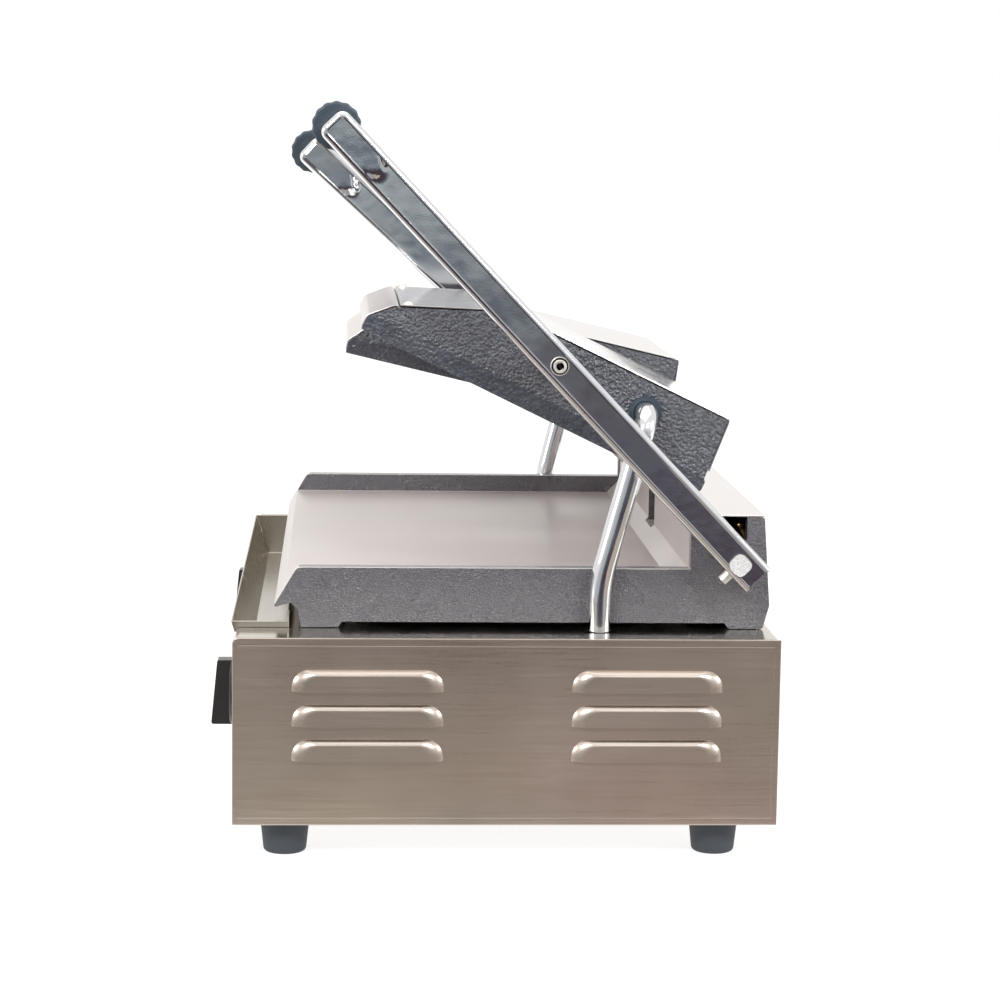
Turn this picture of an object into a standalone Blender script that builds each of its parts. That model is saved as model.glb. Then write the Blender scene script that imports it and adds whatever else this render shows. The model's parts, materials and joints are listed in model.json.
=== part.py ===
"""Twin contact grill (panini press): two sprung cast-iron heads above one cast plate, on a steel casing.

Metres, +Z up, +Y to the rear. The origin lies under the middle of the outline, on the surface it stands on.
Depths are measured back from the front panel, and heights up from the deck.
"""

import math

import bmesh
import bpy
from mathutils import Matrix, Vector

GAP = 0.0003  # left between pieces that touch

# Casing
FRONT_Y = -0.175
DECK_Z = 0.1476
CASING_WIDTH = 0.570
CASING_DEPTH = 0.356
CASING_HEIGHT = 0.1236
SHEET = 0.0015
FOOT_HEIGHT = 0.024
FOOT_TOP_RADIUS = 0.0165
FOOT_BOTTOM_RADIUS = 0.0139
FOOT_X = 0.255
FOOT_DEPTHS = {"front": 0.0337, "rear": 0.318}

# Louvres pressed out of the side panels
LOUVRE_LENGTH = 0.098
LOUVRE_HEIGHT = 0.015
LOUVRE_RISE = 0.004
LOUVRE_DEPTHS = (0.0874, 0.269)
LOUVRE_TOPS = (-0.0204, -0.0432, -0.0662)

# Drip tray, in a cut-out of the front panel and the deck
TRAY_HALF = 0.247
TRAY_TOP = 0.0043
TRAY_FLOOR = -0.0285
TRAY_LIP_DEPTH = -0.0024
TRAY_TOE_DEPTH = 0.008
TRAY_BACK_DEPTH = 0.0357
TRAY_BACK_TOP = 0.0115
TRAY_WALL = 0.001
TRAY_CLEAR = 0.0013

# Controls on the front panel
CONTROL_HEIGHT = -0.054
KNOB_X = 0.190
KNOB_RADIUS = 0.023
LAMP_X = 0.145
SWITCH_X = 0.095
SWITCH_WIDTH = 0.030
SWITCH_HEIGHT = 0.022
ROCKER_TILT = 7.0

# Supply gland in the rear panel, and the heaters' legs through the deck
GLAND_X = -0.200
GLAND_HEIGHT = -0.095
ELEMENT_LEGS = (0.090, 0.170)
LEAD_DEPTH = 0.275

# Lower casting
CASTING_HALF = 0.2475
CASTING_WALL = 0.010
PLATE_TOP = 0.0264
PLATE_THICKNESS = 0.0084
RIM_TOP = 0.0405
HOUSING_TOP = 0.0752
HOUSING_FRONT = 0.300
COVER_TOP = 0.0765
SPLASH_SLOT_HALF = 0.020
WEB = 0.006

# Handles, each turning on its own cross shaft
SHAFT_DEPTH = 0.3294
SHAFT_HEIGHT = 0.0471
SHAFT_RADIUS = 0.0075
ARM_WIDTH = 0.0224
ARM_LIFT = 0.0018
ARM_THICK = 0.012
ARM_POCKET = 0.006
ARM_POCKET_WIDTH = 0.0135
ARM_TAIL = 0.015
ARM_HEAD = 0.391
OUTER_ARM_X = 0.265
INNER_ARM_X = 0.005
GRIP_REACH = 0.385
GRIP_RADIUS = 0.0160
GRIP_FLUTES = 14
HANDLE_ANGLE = {"right": 46.35, "left": 42.45}

# Heads, each on two bolts through its arms
BOLT_REACH = 0.1763
BOLT_LIFT = 0.0020
BOLT_RADIUS = 0.004
HEAD_INNER_X = 0.023
HEAD_OUTER_X = 0.235
HEAD_WALL = 0.007
HEAD_PLATE = 0.009
HEAD_BOLT = (0.1227, 0.0359)
HEAD_TILT = {"right": 25.7, "left": 13.1}
COVER_SHEET = 0.001

# Conduit that carries a head's leads down through the deck
CONDUIT_HOLE = (0.191, 0.032)
CONDUIT_RADIUS = 0.0075
CONDUIT_WALL = 0.0012
CONDUIT_X = 0.256
CONDUIT_LEAN = 15.0
CONDUIT_UPPER = 0.1144
CONDUIT_LOWER = 0.0525
CONDUIT_TURN = {"right": 0.0, "left": -1.4}
GROMMET_RADIUS = 0.0095
DECK_SLOT = (0.2285, 0.2492)
DECK_SLOT_HALF = 0.0088

SIDES = {"right": 1, "left": -1}

COLOURS = {
    "brushed_steel": ((0.50, 0.46, 0.42), 0.35, 1.0),
    "bright_steel": ((0.80, 0.79, 0.77), 0.22, 1.0),
    "chrome": ((0.82, 0.83, 0.85), 0.06, 1.0),
    "enamel": ((0.085, 0.083, 0.10), 0.42, 0.0),
    "black_plastic": ((0.02, 0.02, 0.022), 0.45, 0.0),
    "rubber": ((0.018, 0.018, 0.018), 0.8, 0.0),
    "zinc": ((0.70, 0.48, 0.12), 0.35, 1.0),
    "lamp": ((0.75, 0.10, 0.03), 0.15, 0.0),
    "rocker": ((0.45, 0.02, 0.02), 0.3, 0.0),
    "heater": ((0.16, 0.15, 0.14), 0.5, 1.0),
    "ceramic": ((0.80, 0.78, 0.72), 0.6, 0.0),
}


def collection(name):
    made = bpy.data.collections.new(name)
    bpy.context.scene.collection.children.link(made)
    return made


def clear_scene():
    for obj in list(bpy.data.objects):
        bpy.data.objects.remove(obj)


def make_material(name):
    colour, roughness, metallic = COLOURS[name]
    material = bpy.data.materials.new(name)
    material.use_nodes = True
    shader = material.node_tree.nodes["Principled BSDF"]
    shader.inputs["Base Color"].default_value = (*colour, 1)
    shader.inputs["Roughness"].default_value = roughness
    shader.inputs["Metallic"].default_value = metallic
    return material


clear_scene()
PARTS = collection("panini_press")
CUTTERS = collection("cutters")
MATERIALS = {name: make_material(name) for name in COLOURS}


# Making and joining shapes


def add(name, data, finish=None, parent=None):
    """A part with this finish, or a cutter where none is given."""
    obj = bpy.data.objects.new(name, data)
    obj.parent = parent
    if finish:
        PARTS.objects.link(obj)
        obj.data.materials.append(MATERIALS[finish])
    else:
        CUTTERS.objects.link(obj)
        obj.hide_render = True
        obj.display_type = "WIRE"
    return obj


def empty(name, location, turn=0.0, parent=None):
    """An empty on a joint's axis, turned back about X by this many degrees."""
    obj = bpy.data.objects.new(name, None)
    obj.location = location
    obj.rotation_euler.x = -math.radians(turn)
    obj.parent = parent
    PARTS.objects.link(obj)
    return obj


def arc(before, corner, after, radius, steps):
    """The points that turn this corner on an arc."""
    into, out = (corner - before).normalized(), (after - corner).normalized()
    turn = into.angle(out)
    if radius == 0 or turn < 1e-4:
        return [corner]
    start = corner - into * radius * math.tan(turn / 2)
    axis = into.cross(out).normalized()
    centre = start + axis.cross(into) * radius
    return [
        centre + Matrix.Rotation(turn * step / steps, 3, axis) @ (start - centre)
        for step in range(steps + 1)
    ]


def rounded(corners, steps=3):
    """A closed outline from (across, up) or (across, up, radius) corners."""
    points = [Vector((c[0], c[1], 0)) for c in corners]
    outline = []
    for i, corner in enumerate(corners):
        radius = corner[2] if len(corner) > 2 else 0
        outline += arc(points[i - 1], points[i], points[(i + 1) % len(points)], radius, steps)
    return outline


def bent(corners, radii, steps=4):
    """A line through these corners, each inner one turned on its radius."""
    points = [Vector(corner) for corner in corners]
    path = [points[0]]
    for i, radius in enumerate(radii, start=1):
        path += arc(points[i - 1], points[i], points[i + 1], radius, steps)
    return path + [points[-1]]


def rectangle(low, high, radius=0.0):
    (a, b), (c, d) = low, high
    return rounded([(a, b, radius), (c, b, radius), (c, d, radius), (a, d, radius)])


def circle(centre, radius, count=16):
    turns = [2 * math.pi * i / count for i in range(count)]
    return [Vector((centre[0] + radius * math.cos(t), centre[1] + radius * math.sin(t), 0)) for t in turns]


def spline(curve, points, closed):
    line = curve.splines.new("POLY")
    line.points.add(len(points) - 1)
    for target, point in zip(line.points, points):
        target.co = (*point, 1)
    line.use_cyclic_u = closed


def curve_mesh(obj):
    """The curve's surface as a mesh, with its caps welded."""
    bpy.context.view_layer.update()
    evaluated = obj.evaluated_get(bpy.context.evaluated_depsgraph_get())
    mesh = bpy.data.meshes.new_from_object(evaluated)
    curve = obj.data
    bpy.data.objects.remove(obj)
    bpy.data.curves.remove(curve)
    work = bmesh.new()
    work.from_mesh(mesh)
    bmesh.ops.remove_doubles(work, verts=work.verts, dist=1e-6)
    bmesh.ops.recalc_face_normals(work, faces=work.faces)
    work.to_mesh(mesh)
    work.free()
    return mesh


def outline_mesh(name, outlines, thick):
    """A plate of these outlines, where an inner one is a hole."""
    curve = bpy.data.curves.new(name, "CURVE")
    curve.dimensions = "2D"
    curve.fill_mode = "BOTH"
    curve.extrude = thick / 2
    for outline in outlines:
        spline(curve, outline, True)
    obj = bpy.data.objects.new(name, curve)
    bpy.context.scene.collection.objects.link(obj)
    return curve_mesh(obj)


def across(name, outlines, x_from, x_to, finish=None, parent=None):
    """A solid whose outlines, in depth and height, run across the object from one X to the other."""
    mesh = outline_mesh(name, outlines, abs(x_to - x_from))
    obj = add(name, mesh, finish, parent)
    obj.rotation_euler = (math.pi / 2, 0, math.pi / 2)
    origin = (0, 0) if parent else (FRONT_Y, DECK_Z)
    obj.location = ((x_from + x_to) / 2, *origin)
    return obj


def along(name, outlines, depth_from, depth_to, finish=None):
    """A solid whose outlines, in X and height, run back from one depth to the other."""
    mesh = outline_mesh(name, [[Vector((-p.x, p.y, 0)) for p in o] for o in outlines], depth_to - depth_from)
    obj = add(name, mesh, finish)
    obj.rotation_euler = (math.pi / 2, 0, math.pi)
    obj.location = (0, FRONT_Y + (depth_from + depth_to) / 2, DECK_Z)
    return obj


def upright(name, outlines, low, high, finish=None):
    """A solid whose outlines, in X and depth, stand from one height to the other."""
    obj = add(name, outline_mesh(name, outlines, high - low), finish)
    obj.location = (0, FRONT_Y, DECK_Z + (low + high) / 2)
    return obj


def box(name, low, high, finish=None, parent=None):
    """A box between two corners, in X, depth and height."""
    return across(name, [rectangle(low[1:], high[1:])], low[0], high[0], finish, parent)


def turned(name, profile, direction, location, finish=None, parent=None, steps=16, closed=False):
    """A profile of (radius, distance) points, from the far end back, turned about a direction."""
    mesh = bpy.data.meshes.new(name)
    count = len(profile)
    edges = [(i, i + 1) for i in range(count - 1)] + ([(count - 1, 0)] if closed else [])
    mesh.from_pydata([(r, 0, z) for r, z in profile], edges, [])
    obj = add(name, mesh, finish, parent)
    screw = obj.modifiers.new("turn", "SCREW")
    screw.steps = screw.render_steps = steps
    screw.use_merge_vertices = True
    screw.merge_threshold = 0.00001
    obj.rotation_euler = Vector(direction).to_track_quat("Z", "Y").to_euler()
    obj.location = location
    return obj


def rod(name, radius, x_from, x_to, centre, finish=None, parent=None, count=16):
    return across(name, [circle(centre, radius, count)], x_from, x_to, finish, parent)


def tube(name, path, radius, finish=None, parent=None, wall=None, resolution=2):
    """A solid bar along a path, or a pipe where it has a wall."""
    curve = bpy.data.curves.new(name, "CURVE")
    curve.dimensions = "3D"
    curve.bevel_depth = radius
    curve.bevel_resolution = resolution
    curve.use_fill_caps = wall is None
    spline(curve, path, False)
    obj = bpy.data.objects.new(name, curve)
    bpy.context.scene.collection.objects.link(obj)
    obj = add(name, curve_mesh(obj), finish, parent)
    if wall:
        shell = obj.modifiers.new("wall", "SOLIDIFY")
        shell.thickness = wall
        shell.offset = -1
    if parent is None:
        obj.location = (0, FRONT_Y, DECK_Z)
    return obj


def combine(obj, others, operation="DIFFERENCE"):
    for other in others:
        modifier = obj.modifiers.new(other.name, "BOOLEAN")
        modifier.operation = operation
        modifier.object = other
    return obj


def smooth(obj, angle=30):
    obj.data.shade_smooth()
    obj.data.set_sharp_from_angle(angle=math.radians(angle))
    return obj


def strip(points, thick):
    """A folded sheet's outline, its second face on the left of the line that these points make."""
    line = [Vector((p[0], p[1], 0)) for p in points]
    side = []
    for i, point in enumerate(line):
        into = (point - line[i - 1]).normalized() if i else None
        out = (line[i + 1] - point).normalized() if i < len(line) - 1 else None
        normals = [Vector((-d.y, d.x, 0)) for d in (into, out) if d]
        middle = sum(normals, Vector()).normalized()
        side.append(point + middle * thick / middle.dot(normals[0]))
    return line + side[::-1]


# Casing


def base_shell():
    """The deck with the front and rear panels folded down from it, as one sheet."""
    bend = 0.004
    half = CASING_WIDTH / 2 - SHEET - GAP
    outer = [
        (0, -CASING_HEIGHT),
        (0, 0, bend),
        (CASING_DEPTH, 0, bend),
        (CASING_DEPTH, -CASING_HEIGHT),
        (CASING_DEPTH - SHEET, -CASING_HEIGHT),
        (CASING_DEPTH - SHEET, -SHEET, bend - SHEET),
        (SHEET, -SHEET, bend - SHEET),
        (SHEET, -CASING_HEIGHT),
    ]
    shell = across("base_shell", [rounded(outer)], -half, half, "brushed_steel")
    mouth = TRAY_HALF + TRAY_CLEAR
    tray = box(
        "cut_tray_mouth",
        (-mouth, -0.005, TRAY_FLOOR - 0.002),
        (mouth, TRAY_BACK_DEPTH + TRAY_CLEAR, 0.005),
    )
    holes = [circle((side * KNOB_X, CONTROL_HEIGHT), 0.0055, 12) for side in SIDES.values()]
    holes += [circle((side * LAMP_X, CONTROL_HEIGHT), 0.0058, 12) for side in SIDES.values()]
    reach = (SWITCH_WIDTH / 2 - 0.0015, SWITCH_HEIGHT / 2 - 0.0015)
    for side in SIDES.values():
        low = (side * SWITCH_X - reach[0], CONTROL_HEIGHT - reach[1])
        high = (side * SWITCH_X + reach[0], CONTROL_HEIGHT + reach[1])
        holes.append(rectangle(low, high))
    controls = along("cut_controls", holes, -0.005, 0.006)
    rear = CASING_DEPTH
    gland = along("cut_gland", [circle((GLAND_X, GLAND_HEIGHT), 0.0083)], rear - 0.006, rear + 0.005)
    deck_holes = []
    for side in SIDES.values():
        low = (side * CONDUIT_X - DECK_SLOT_HALF, DECK_SLOT[0])
        high = (side * CONDUIT_X + DECK_SLOT_HALF, DECK_SLOT[1])
        deck_holes.append(rectangle(low, high, 0.006))
        deck_holes += [circle((side * x, LEAD_DEPTH), 0.006, 12) for x in ELEMENT_LEGS]
    deck = upright("cut_deck", deck_holes, -0.006, 0.005)
    return smooth(combine(shell, [tray, controls, gland, deck]))


def side_panel(name, side):
    """A flat side sheet with six hooded louvres pressed out of it, each open at its foot."""
    outer_x = side * CASING_WIDTH / 2
    corner = 0.003
    edge = [
        (0, -CASING_HEIGHT, 0.0015),
        (CASING_DEPTH, -CASING_HEIGHT, 0.0015),
        (CASING_DEPTH, 0, 0.0015),
        (0, 0, corner),
    ]
    panel = across(name, [rounded(edge)], outer_x - side * SHEET, outer_x, "brushed_steel")
    hoods, hollows = [], []
    for depth in LOUVRE_DEPTHS:
        for top in LOUVRE_TOPS:
            label = f"{name}_{len(hoods)}"
            hoods.append(louvre(f"hood_{label}", depth, top, outer_x, side, 0))
            hollows.append(louvre(f"hollow_{label}", depth, top, outer_x, side, 0.001))
    combine(panel, hoods, "UNION")
    return smooth(combine(panel, hollows))


def louvre(name, depth, top, outer_x, side, inset):
    """A louvre's hood, or the hollow inside it where it is inset."""
    half, low = LOUVRE_LENGTH / 2 - inset, top - LOUVRE_HEIGHT - inset
    shoulder = 0.0125 - inset
    outline = rounded([
        (depth - half, low),
        (depth + half, low),
        (depth + half, top - inset, shoulder),
        (depth - half, top - inset, shoulder),
    ])
    root = outer_x - side * (0.004 if inset else SHEET / 2)
    crest = outer_x + side * (LOUVRE_RISE - inset)
    hood = across(name, [outline], root, crest)
    bevel_face(hood, 0.5 * (crest - root), LOUVRE_RISE * 0.8 - inset)
    return hood


def bevel_face(obj, height, width):
    """Rounds the rim of the face at this local height, apart from its lowest edge."""
    work = bmesh.new()
    work.from_mesh(obj.data)
    bottom = min(v.co.y for v in work.verts)
    rim = [
        e for e in work.edges
        if all(abs(v.co.z - height) < 1e-6 for v in e.verts)
        and not all(v.co.y < bottom + 1e-6 for v in e.verts)
        and len(e.link_faces) == 2
        and e.calc_face_angle() > 1
    ]
    bmesh.ops.bevel(work, geom=rim, offset=width, segments=2, profile=0.5, affect="EDGES")
    work.to_mesh(obj.data)
    work.free()


def bottom_plate():
    """The floor of the casing, with rows of slots that let air in under the louvres."""
    half = CASING_WIDTH / 2 - SHEET - 2 * GAP
    inset = SHEET + GAP
    outlines = [rectangle((-half, inset), (half, CASING_DEPTH - inset))]
    for column in range(-2, 3):
        for row in (0.13, 0.20):
            centre = column * 0.08
            outlines.append(rectangle((centre - 0.025, row), (centre + 0.025, row + 0.006)))
    return upright("bottom_plate", outlines, -CASING_HEIGHT, -CASING_HEIGHT + 0.0012, "brushed_steel")


def foot(name, x, depth):
    """A tapered rubber foot, hollow from below for its screw."""
    top = FOOT_HEIGHT - GAP
    profile = [
        (0, top),
        (FOOT_TOP_RADIUS, top),
        (FOOT_BOTTOM_RADIUS, 0.0015),
        (FOOT_BOTTOM_RADIUS - 0.0015, 0),
        (0.004, 0),
        (0.004, 0.015),
        (0, 0.015),
    ]
    return smooth(turned(name, profile, (0, 0, 1), (x, FRONT_Y + depth, 0), "rubber", steps=20), 50)


def drip_tray():
    """A folded tray that pulls straight out to the front, its front wall leaning forward."""
    tray = across("drip_tray", [rounded([
        (TRAY_LIP_DEPTH, TRAY_TOP),
        (TRAY_TOE_DEPTH, TRAY_FLOOR),
        (TRAY_BACK_DEPTH, TRAY_FLOOR),
        (TRAY_BACK_DEPTH, TRAY_BACK_TOP),
        (TRAY_BACK_DEPTH - TRAY_WALL, TRAY_BACK_TOP),
        (TRAY_BACK_DEPTH - TRAY_WALL, TRAY_TOP),
    ])], -TRAY_HALF, TRAY_HALF, "bright_steel")
    inside = TRAY_HALF - TRAY_WALL
    slope = (TRAY_TOE_DEPTH - TRAY_LIP_DEPTH) / (TRAY_TOP - TRAY_FLOOR)
    hollow = across("cut_tray", [rounded([
        (TRAY_LIP_DEPTH + TRAY_WALL - slope * 0.001, TRAY_TOP + 0.001),
        (TRAY_TOE_DEPTH + TRAY_WALL - slope * TRAY_WALL, TRAY_FLOOR + TRAY_WALL),
        (TRAY_BACK_DEPTH - TRAY_WALL, TRAY_FLOOR + TRAY_WALL),
        (TRAY_BACK_DEPTH - TRAY_WALL, TRAY_TOP + 0.001),
    ])], -inside, inside)
    return combine(tray, [hollow])


def tray_runner(name, side):
    """An angle under the deck that an end of the drip tray slides on."""
    outer = TRAY_HALF + TRAY_CLEAR + 0.0015
    foot_z = TRAY_FLOOR - GAP
    angle = [
        (outer, -SHEET - GAP),
        (outer + 0.0012, -SHEET - GAP),
        (outer + 0.0012, foot_z - 0.0012),
        (outer - 0.013, foot_z - 0.0012),
        (outer - 0.013, foot_z),
        (outer, foot_z),
    ]
    outline = rounded([(side * x, z) for x, z in angle])
    return along(name, [outline], 0.006, TRAY_BACK_DEPTH, "brushed_steel")


# Controls and wiring


def thermostat(name, side):
    """A capillary thermostat behind the front panel, with its spindle through it."""
    x = side * KNOB_X
    body = box(
        name,
        (x - 0.020, SHEET + GAP, CONTROL_HEIGHT - 0.017),
        (x + 0.020, 0.036, CONTROL_HEIGHT + 0.017),
        "ceramic",
    )
    spindle = along(f"join_spindle_{name}", [circle((x, CONTROL_HEIGHT), 0.003, 16)], -0.012, 0.010)
    return combine(body, [spindle], "UNION")


def knob(name, side):
    """A skirted knob with a bar grip that leans out towards its foot."""
    centre = Vector((side * KNOB_X, FRONT_Y, DECK_Z + CONTROL_HEIGHT))
    pivot = empty(f"{name}_axis", centre)
    rim = KNOB_RADIUS
    skirt = [(0, 0.0050), (rim - 0.001, 0.0050), (rim, 0.0040), (rim, 0.0006), (0, 0.0006)]
    body = turned(name, skirt, (0, -1, 0), (0, 0, 0), "black_plastic", pivot, 28)
    bar = [
        (-0.0136, KNOB_RADIUS - 0.001, 0.0015),
        (-0.0177, -KNOB_RADIUS + 0.001, 0.0015),
        (-0.003, -KNOB_RADIUS + 0.001),
        (-0.003, KNOB_RADIUS - 0.001),
    ]
    grip = across(f"join_{name}", [rounded(bar)], -0.0065, 0.0065, None, pivot)
    socket = turned(
        f"cut_{name}", [(0, 0.0125), (0.0033, 0.0125), (0.0033, -0.002), (0, -0.002)], (0, -1, 0), (0, 0, 0),
        None, pivot, 16,
    )
    combine(body, [grip], "UNION")
    return smooth(combine(body, [socket]))


def lamp(name, side):
    """A round indicator lamp, pushed through the front panel."""
    dome = [(0, 0.0030), (0.0035, 0.0027), (0.0065, 0.0014), (0.0075, GAP)]
    stem = [(0.0055, GAP), (0.0055, -0.020), (0, -0.020)]
    centre = (side * LAMP_X, FRONT_Y, DECK_Z + CONTROL_HEIGHT)
    return smooth(turned(name, dome + stem, (0, -1, 0), centre, "lamp"), 60)


def switch_body(name, side):
    """The frame and housing of a rocker switch, with a well for the rocker."""
    x = side * SWITCH_X
    reach = (SWITCH_WIDTH / 2, SWITCH_HEIGHT / 2)

    def frame(inset):
        low = (x - reach[0] + inset, CONTROL_HEIGHT - reach[1] + inset)
        high = (x + reach[0] - inset, CONTROL_HEIGHT + reach[1] - inset)
        return rectangle(low, high)

    body = along(name, [frame(0)], -0.0022, -GAP, "black_plastic")
    housing = along(f"join_{name}", [frame(0.0018)], -0.001, 0.020)
    well = along(f"cut_{name}", [frame(0.003)], -0.010, 0.014)
    combine(body, [housing], "UNION")
    return combine(body, [well])


def rocker(name, side):
    """A rocker on its own axis across the switch, its two faces meeting in a shallow valley."""
    axis = Vector((side * SWITCH_X, FRONT_Y + 0.004, DECK_Z + CONTROL_HEIGHT))
    pivot = empty(f"{name}_axis", axis, ROCKER_TILT)
    half = SWITCH_WIDTH / 2 - 0.0036
    reach = SWITCH_HEIGHT / 2 - 0.0042
    outline = [(-0.0082, reach), (-0.0066, 0), (-0.0082, -reach), (0, -reach), (0.0035, 0), (0, reach)]
    return across(name, [rounded(outline)], -half, half, "rocker", pivot)


def lower_element(name, side):
    """A tubular heater loop under the plate, its legs turned down through the deck."""
    low, level, reach = -0.024, 0.0115, 0.085
    inner, outer = (side * x for x in ELEMENT_LEGS)
    corners = [
        (inner, LEAD_DEPTH, low), (inner, LEAD_DEPTH, level), (inner, reach, level),
        (outer, reach, level), (outer, LEAD_DEPTH, level), (outer, LEAD_DEPTH, low),
    ]
    path = bent(corners, [0.010, 0.030, 0.030, 0.010])
    return smooth(tube(name, path, 0.0038, "heater", resolution=1), 60)


def cable_gland():
    """The gland in the rear panel, where the supply lead goes in."""
    rear = CASING_DEPTH
    profile = [
        (0.0055, 0.0117), (0.0085, 0.0117), (0.010, 0.009), (0.0125, 0.009), (0.0125, GAP), (0.0078, GAP),
        (0.0078, -0.012), (0.0055, -0.012),
    ]
    place = (GLAND_X, FRONT_Y + rear, DECK_Z + GLAND_HEIGHT)
    return smooth(turned("cable_gland", profile, (0, 1, 0), place, "black_plastic", closed=True))


def terminal_block():
    """A ceramic block on the floor, where the supply and the elements join."""
    low, high = (-0.235, 0.300, -0.1219), (-0.165, 0.322, -0.104)
    block = box("terminal_block", low, high, "ceramic")
    holes = [circle((low[0] + 0.007 + i * 0.014, -0.111), 0.003, 12) for i in range(5)]
    return combine(block, [along("cut_terminals", holes, 0.290, 0.330)])


# Lower casting


def lower_casting():
    """The lower plate, its side walls and the housing behind it, as one iron casting on two feet."""
    foot_z = GAP
    outline = [
        (0.0434, foot_z), (0.0679, foot_z), (0.0705, 0.004), (0.3235, 0.004), (0.326, foot_z),
        (0.349, foot_z, 0.002), (0.3532, 0.016, 0.004), (0.3487, HOUSING_TOP, 0.0015),
        (HOUSING_FRONT, HOUSING_TOP), (HOUSING_FRONT, RIM_TOP), (0.0407, RIM_TOP, 0.006),
        (0.0246, 0.0132, 0.0012), (0.0367, 0.0165), (0.0413, 0.012),
    ]
    casting = across("lower_casting", [rounded(outline)], -CASTING_HALF, CASTING_HALF, "enamel")
    inside = CASTING_HALF - CASTING_WALL
    above = across("cut_above_plate", [rounded([
        (-0.01, PLATE_TOP), (0.291, PLATE_TOP), (0.3015, 0.037), (0.3015, 0.09), (-0.01, 0.09),
    ])], -inside, inside)
    below = box("cut_below_plate", (-inside, 0.052, -0.01), (inside, 0.3025, PLATE_TOP - PLATE_THICKNESS))
    cuts = [above, below]
    slot = SPLASH_SLOT_HALF
    for i, (low, high) in enumerate([(-inside, -slot - WEB), (-slot, slot), (slot + WEB, inside)]):
        cuts.append(box(f"cut_bay_{i}", (low, HOUSING_FRONT + 0.0065, -0.01), (high, 0.3445, 0.09)))
    cuts.append(box("cut_splash_slot", (-slot, 0.290, 0.0345), (slot, 0.310, 0.09)))
    for name, side in SIDES.items():
        wall = side * (inside - 0.002), side * (CASTING_HALF + 0.002)
        window = rectangle((0.3065, 0.060), (0.337, 0.09))
        cuts.append(across(f"cut_window_{name}", [window], *wall))
        centre = (SHAFT_DEPTH, SHAFT_HEIGHT)
        ends = side * 0.012, side * 0.260
        cuts.append(rod(f"cut_bearing_{name}", SHAFT_RADIUS + GAP, *ends, centre))
    return smooth(combine(casting, cuts))


def spring_cover():
    """The sheet over the housing behind the plate, notched where the inner arms stand."""
    half, slot = CASTING_HALF, SPLASH_SLOT_HALF
    outline = [
        (-half, 0.2992), (-slot, 0.2992), (-slot, 0.330, 0.003), (slot, 0.330, 0.003), (slot, 0.2992),
        (half, 0.2992), (half, 0.3488), (-half, 0.3488),
    ]
    return upright("spring_cover", [rounded(outline)], HOUSING_TOP + GAP, COVER_TOP, "bright_steel")


# Handles and heads


def arm(name, x_from, pocket_side, tail, pivot):
    """A cast arm, level and pointing to the front, its outer face pocketed and open at the tail."""
    x_to = x_from + ARM_THICK
    half = ARM_WIDTH / 2
    below, above = ARM_LIFT - half, ARM_LIFT + half
    crown = 0.0062
    tail_radius = 0.002 if tail > half else half - 0.0001
    body = across(name, [rounded([
        (-ARM_HEAD, below, crown), (tail, below, tail_radius),
        (tail, above, tail_radius), (-ARM_HEAD, above, crown),
    ])], x_from, x_to, "chrome", pivot)
    edge = body.modifiers.new("edge", "BEVEL")
    edge.width = 0.001
    edge.segments = 1
    edge.limit_method = "ANGLE"
    edge.angle_limit = math.radians(50)
    below, above = ARM_LIFT - ARM_POCKET_WIDTH / 2, ARM_LIFT + ARM_POCKET_WIDTH / 2
    floor = x_to - ARM_POCKET if pocket_side > 0 else x_from + ARM_POCKET
    mouth = x_to + 0.001 if pocket_side > 0 else x_from - 0.001
    pocket_tail = tail + 0.005 if tail > half else 0.009
    pocket = across(f"cut_pocket_{name}", [rounded([
        (-ARM_HEAD + 0.007, below, 0.003), (pocket_tail, below), (pocket_tail, above),
        (-ARM_HEAD + 0.007, above, 0.003),
    ])], floor, mouth, None, pivot)
    ends = x_from - 0.001, x_to + 0.001
    seat = across(f"cut_seat_{name}", [shaft_square(GAP)], *ends, None, pivot)
    bolt = rod(f"cut_bolt_{name}", BOLT_RADIUS + GAP, *ends, (-BOLT_REACH, BOLT_LIFT), None, pivot)
    inner_face = x_from if pocket_side > 0 else x_to
    socket = inner_face + pocket_side * 0.004
    rod_hole = rod(
        f"cut_rod_{name}", 0.004 + GAP, min(inner_face, socket) - 0.001 * (pocket_side > 0),
        max(inner_face, socket) + 0.001 * (pocket_side < 0), (-GRIP_REACH, ARM_LIFT), None, pivot, 16,
    )
    screw = turned(
        f"cut_screw_{name}", [(0, 0.02), (0.003 + GAP, 0.02), (0.003 + GAP, 0), (0, 0)], (0, 0, -1),
        ((x_from + x_to) / 2 - pocket_side * 0.003, 0, 0), None, pivot, 16,
    )
    return combine(body, [pocket, seat, bolt, rod_hole, screw])


def shaft_square(clearance=0.0):
    """The rounded square that the ends of the shaft have, and the arms' seats for it."""
    reach = 0.0064 + clearance
    return rectangle((-reach, -reach), (reach, reach), 0.004)


def shaft(name, side, pivot):
    """The cross shaft: round in its bearings and square in the arms."""
    inner, outer = INNER_ARM_X + ARM_THICK + GAP, OUTER_ARM_X - GAP
    body = rod(name, SHAFT_RADIUS, *sorted((side * inner, side * outer)), (0, 0), "brushed_steel", pivot)
    ends = sorted((side * (INNER_ARM_X + 0.002), side * (OUTER_ARM_X + ARM_THICK - 0.0025)))
    return smooth(combine(body, [across(f"join_{name}", [shaft_square()], *ends, None, pivot)], "UNION"))


def set_screw(name, x, pivot):
    """The screw through an arm's lower edge that holds it on the shaft."""
    profile = [(0, 0.0185), (0.0026, 0.0185), (0.003, 0.018), (0.003, 0.0070), (0, 0.0070)]
    return smooth(turned(name, profile, (0, 0, -1), (x, 0, 0), "bright_steel", pivot, 16))


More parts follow.
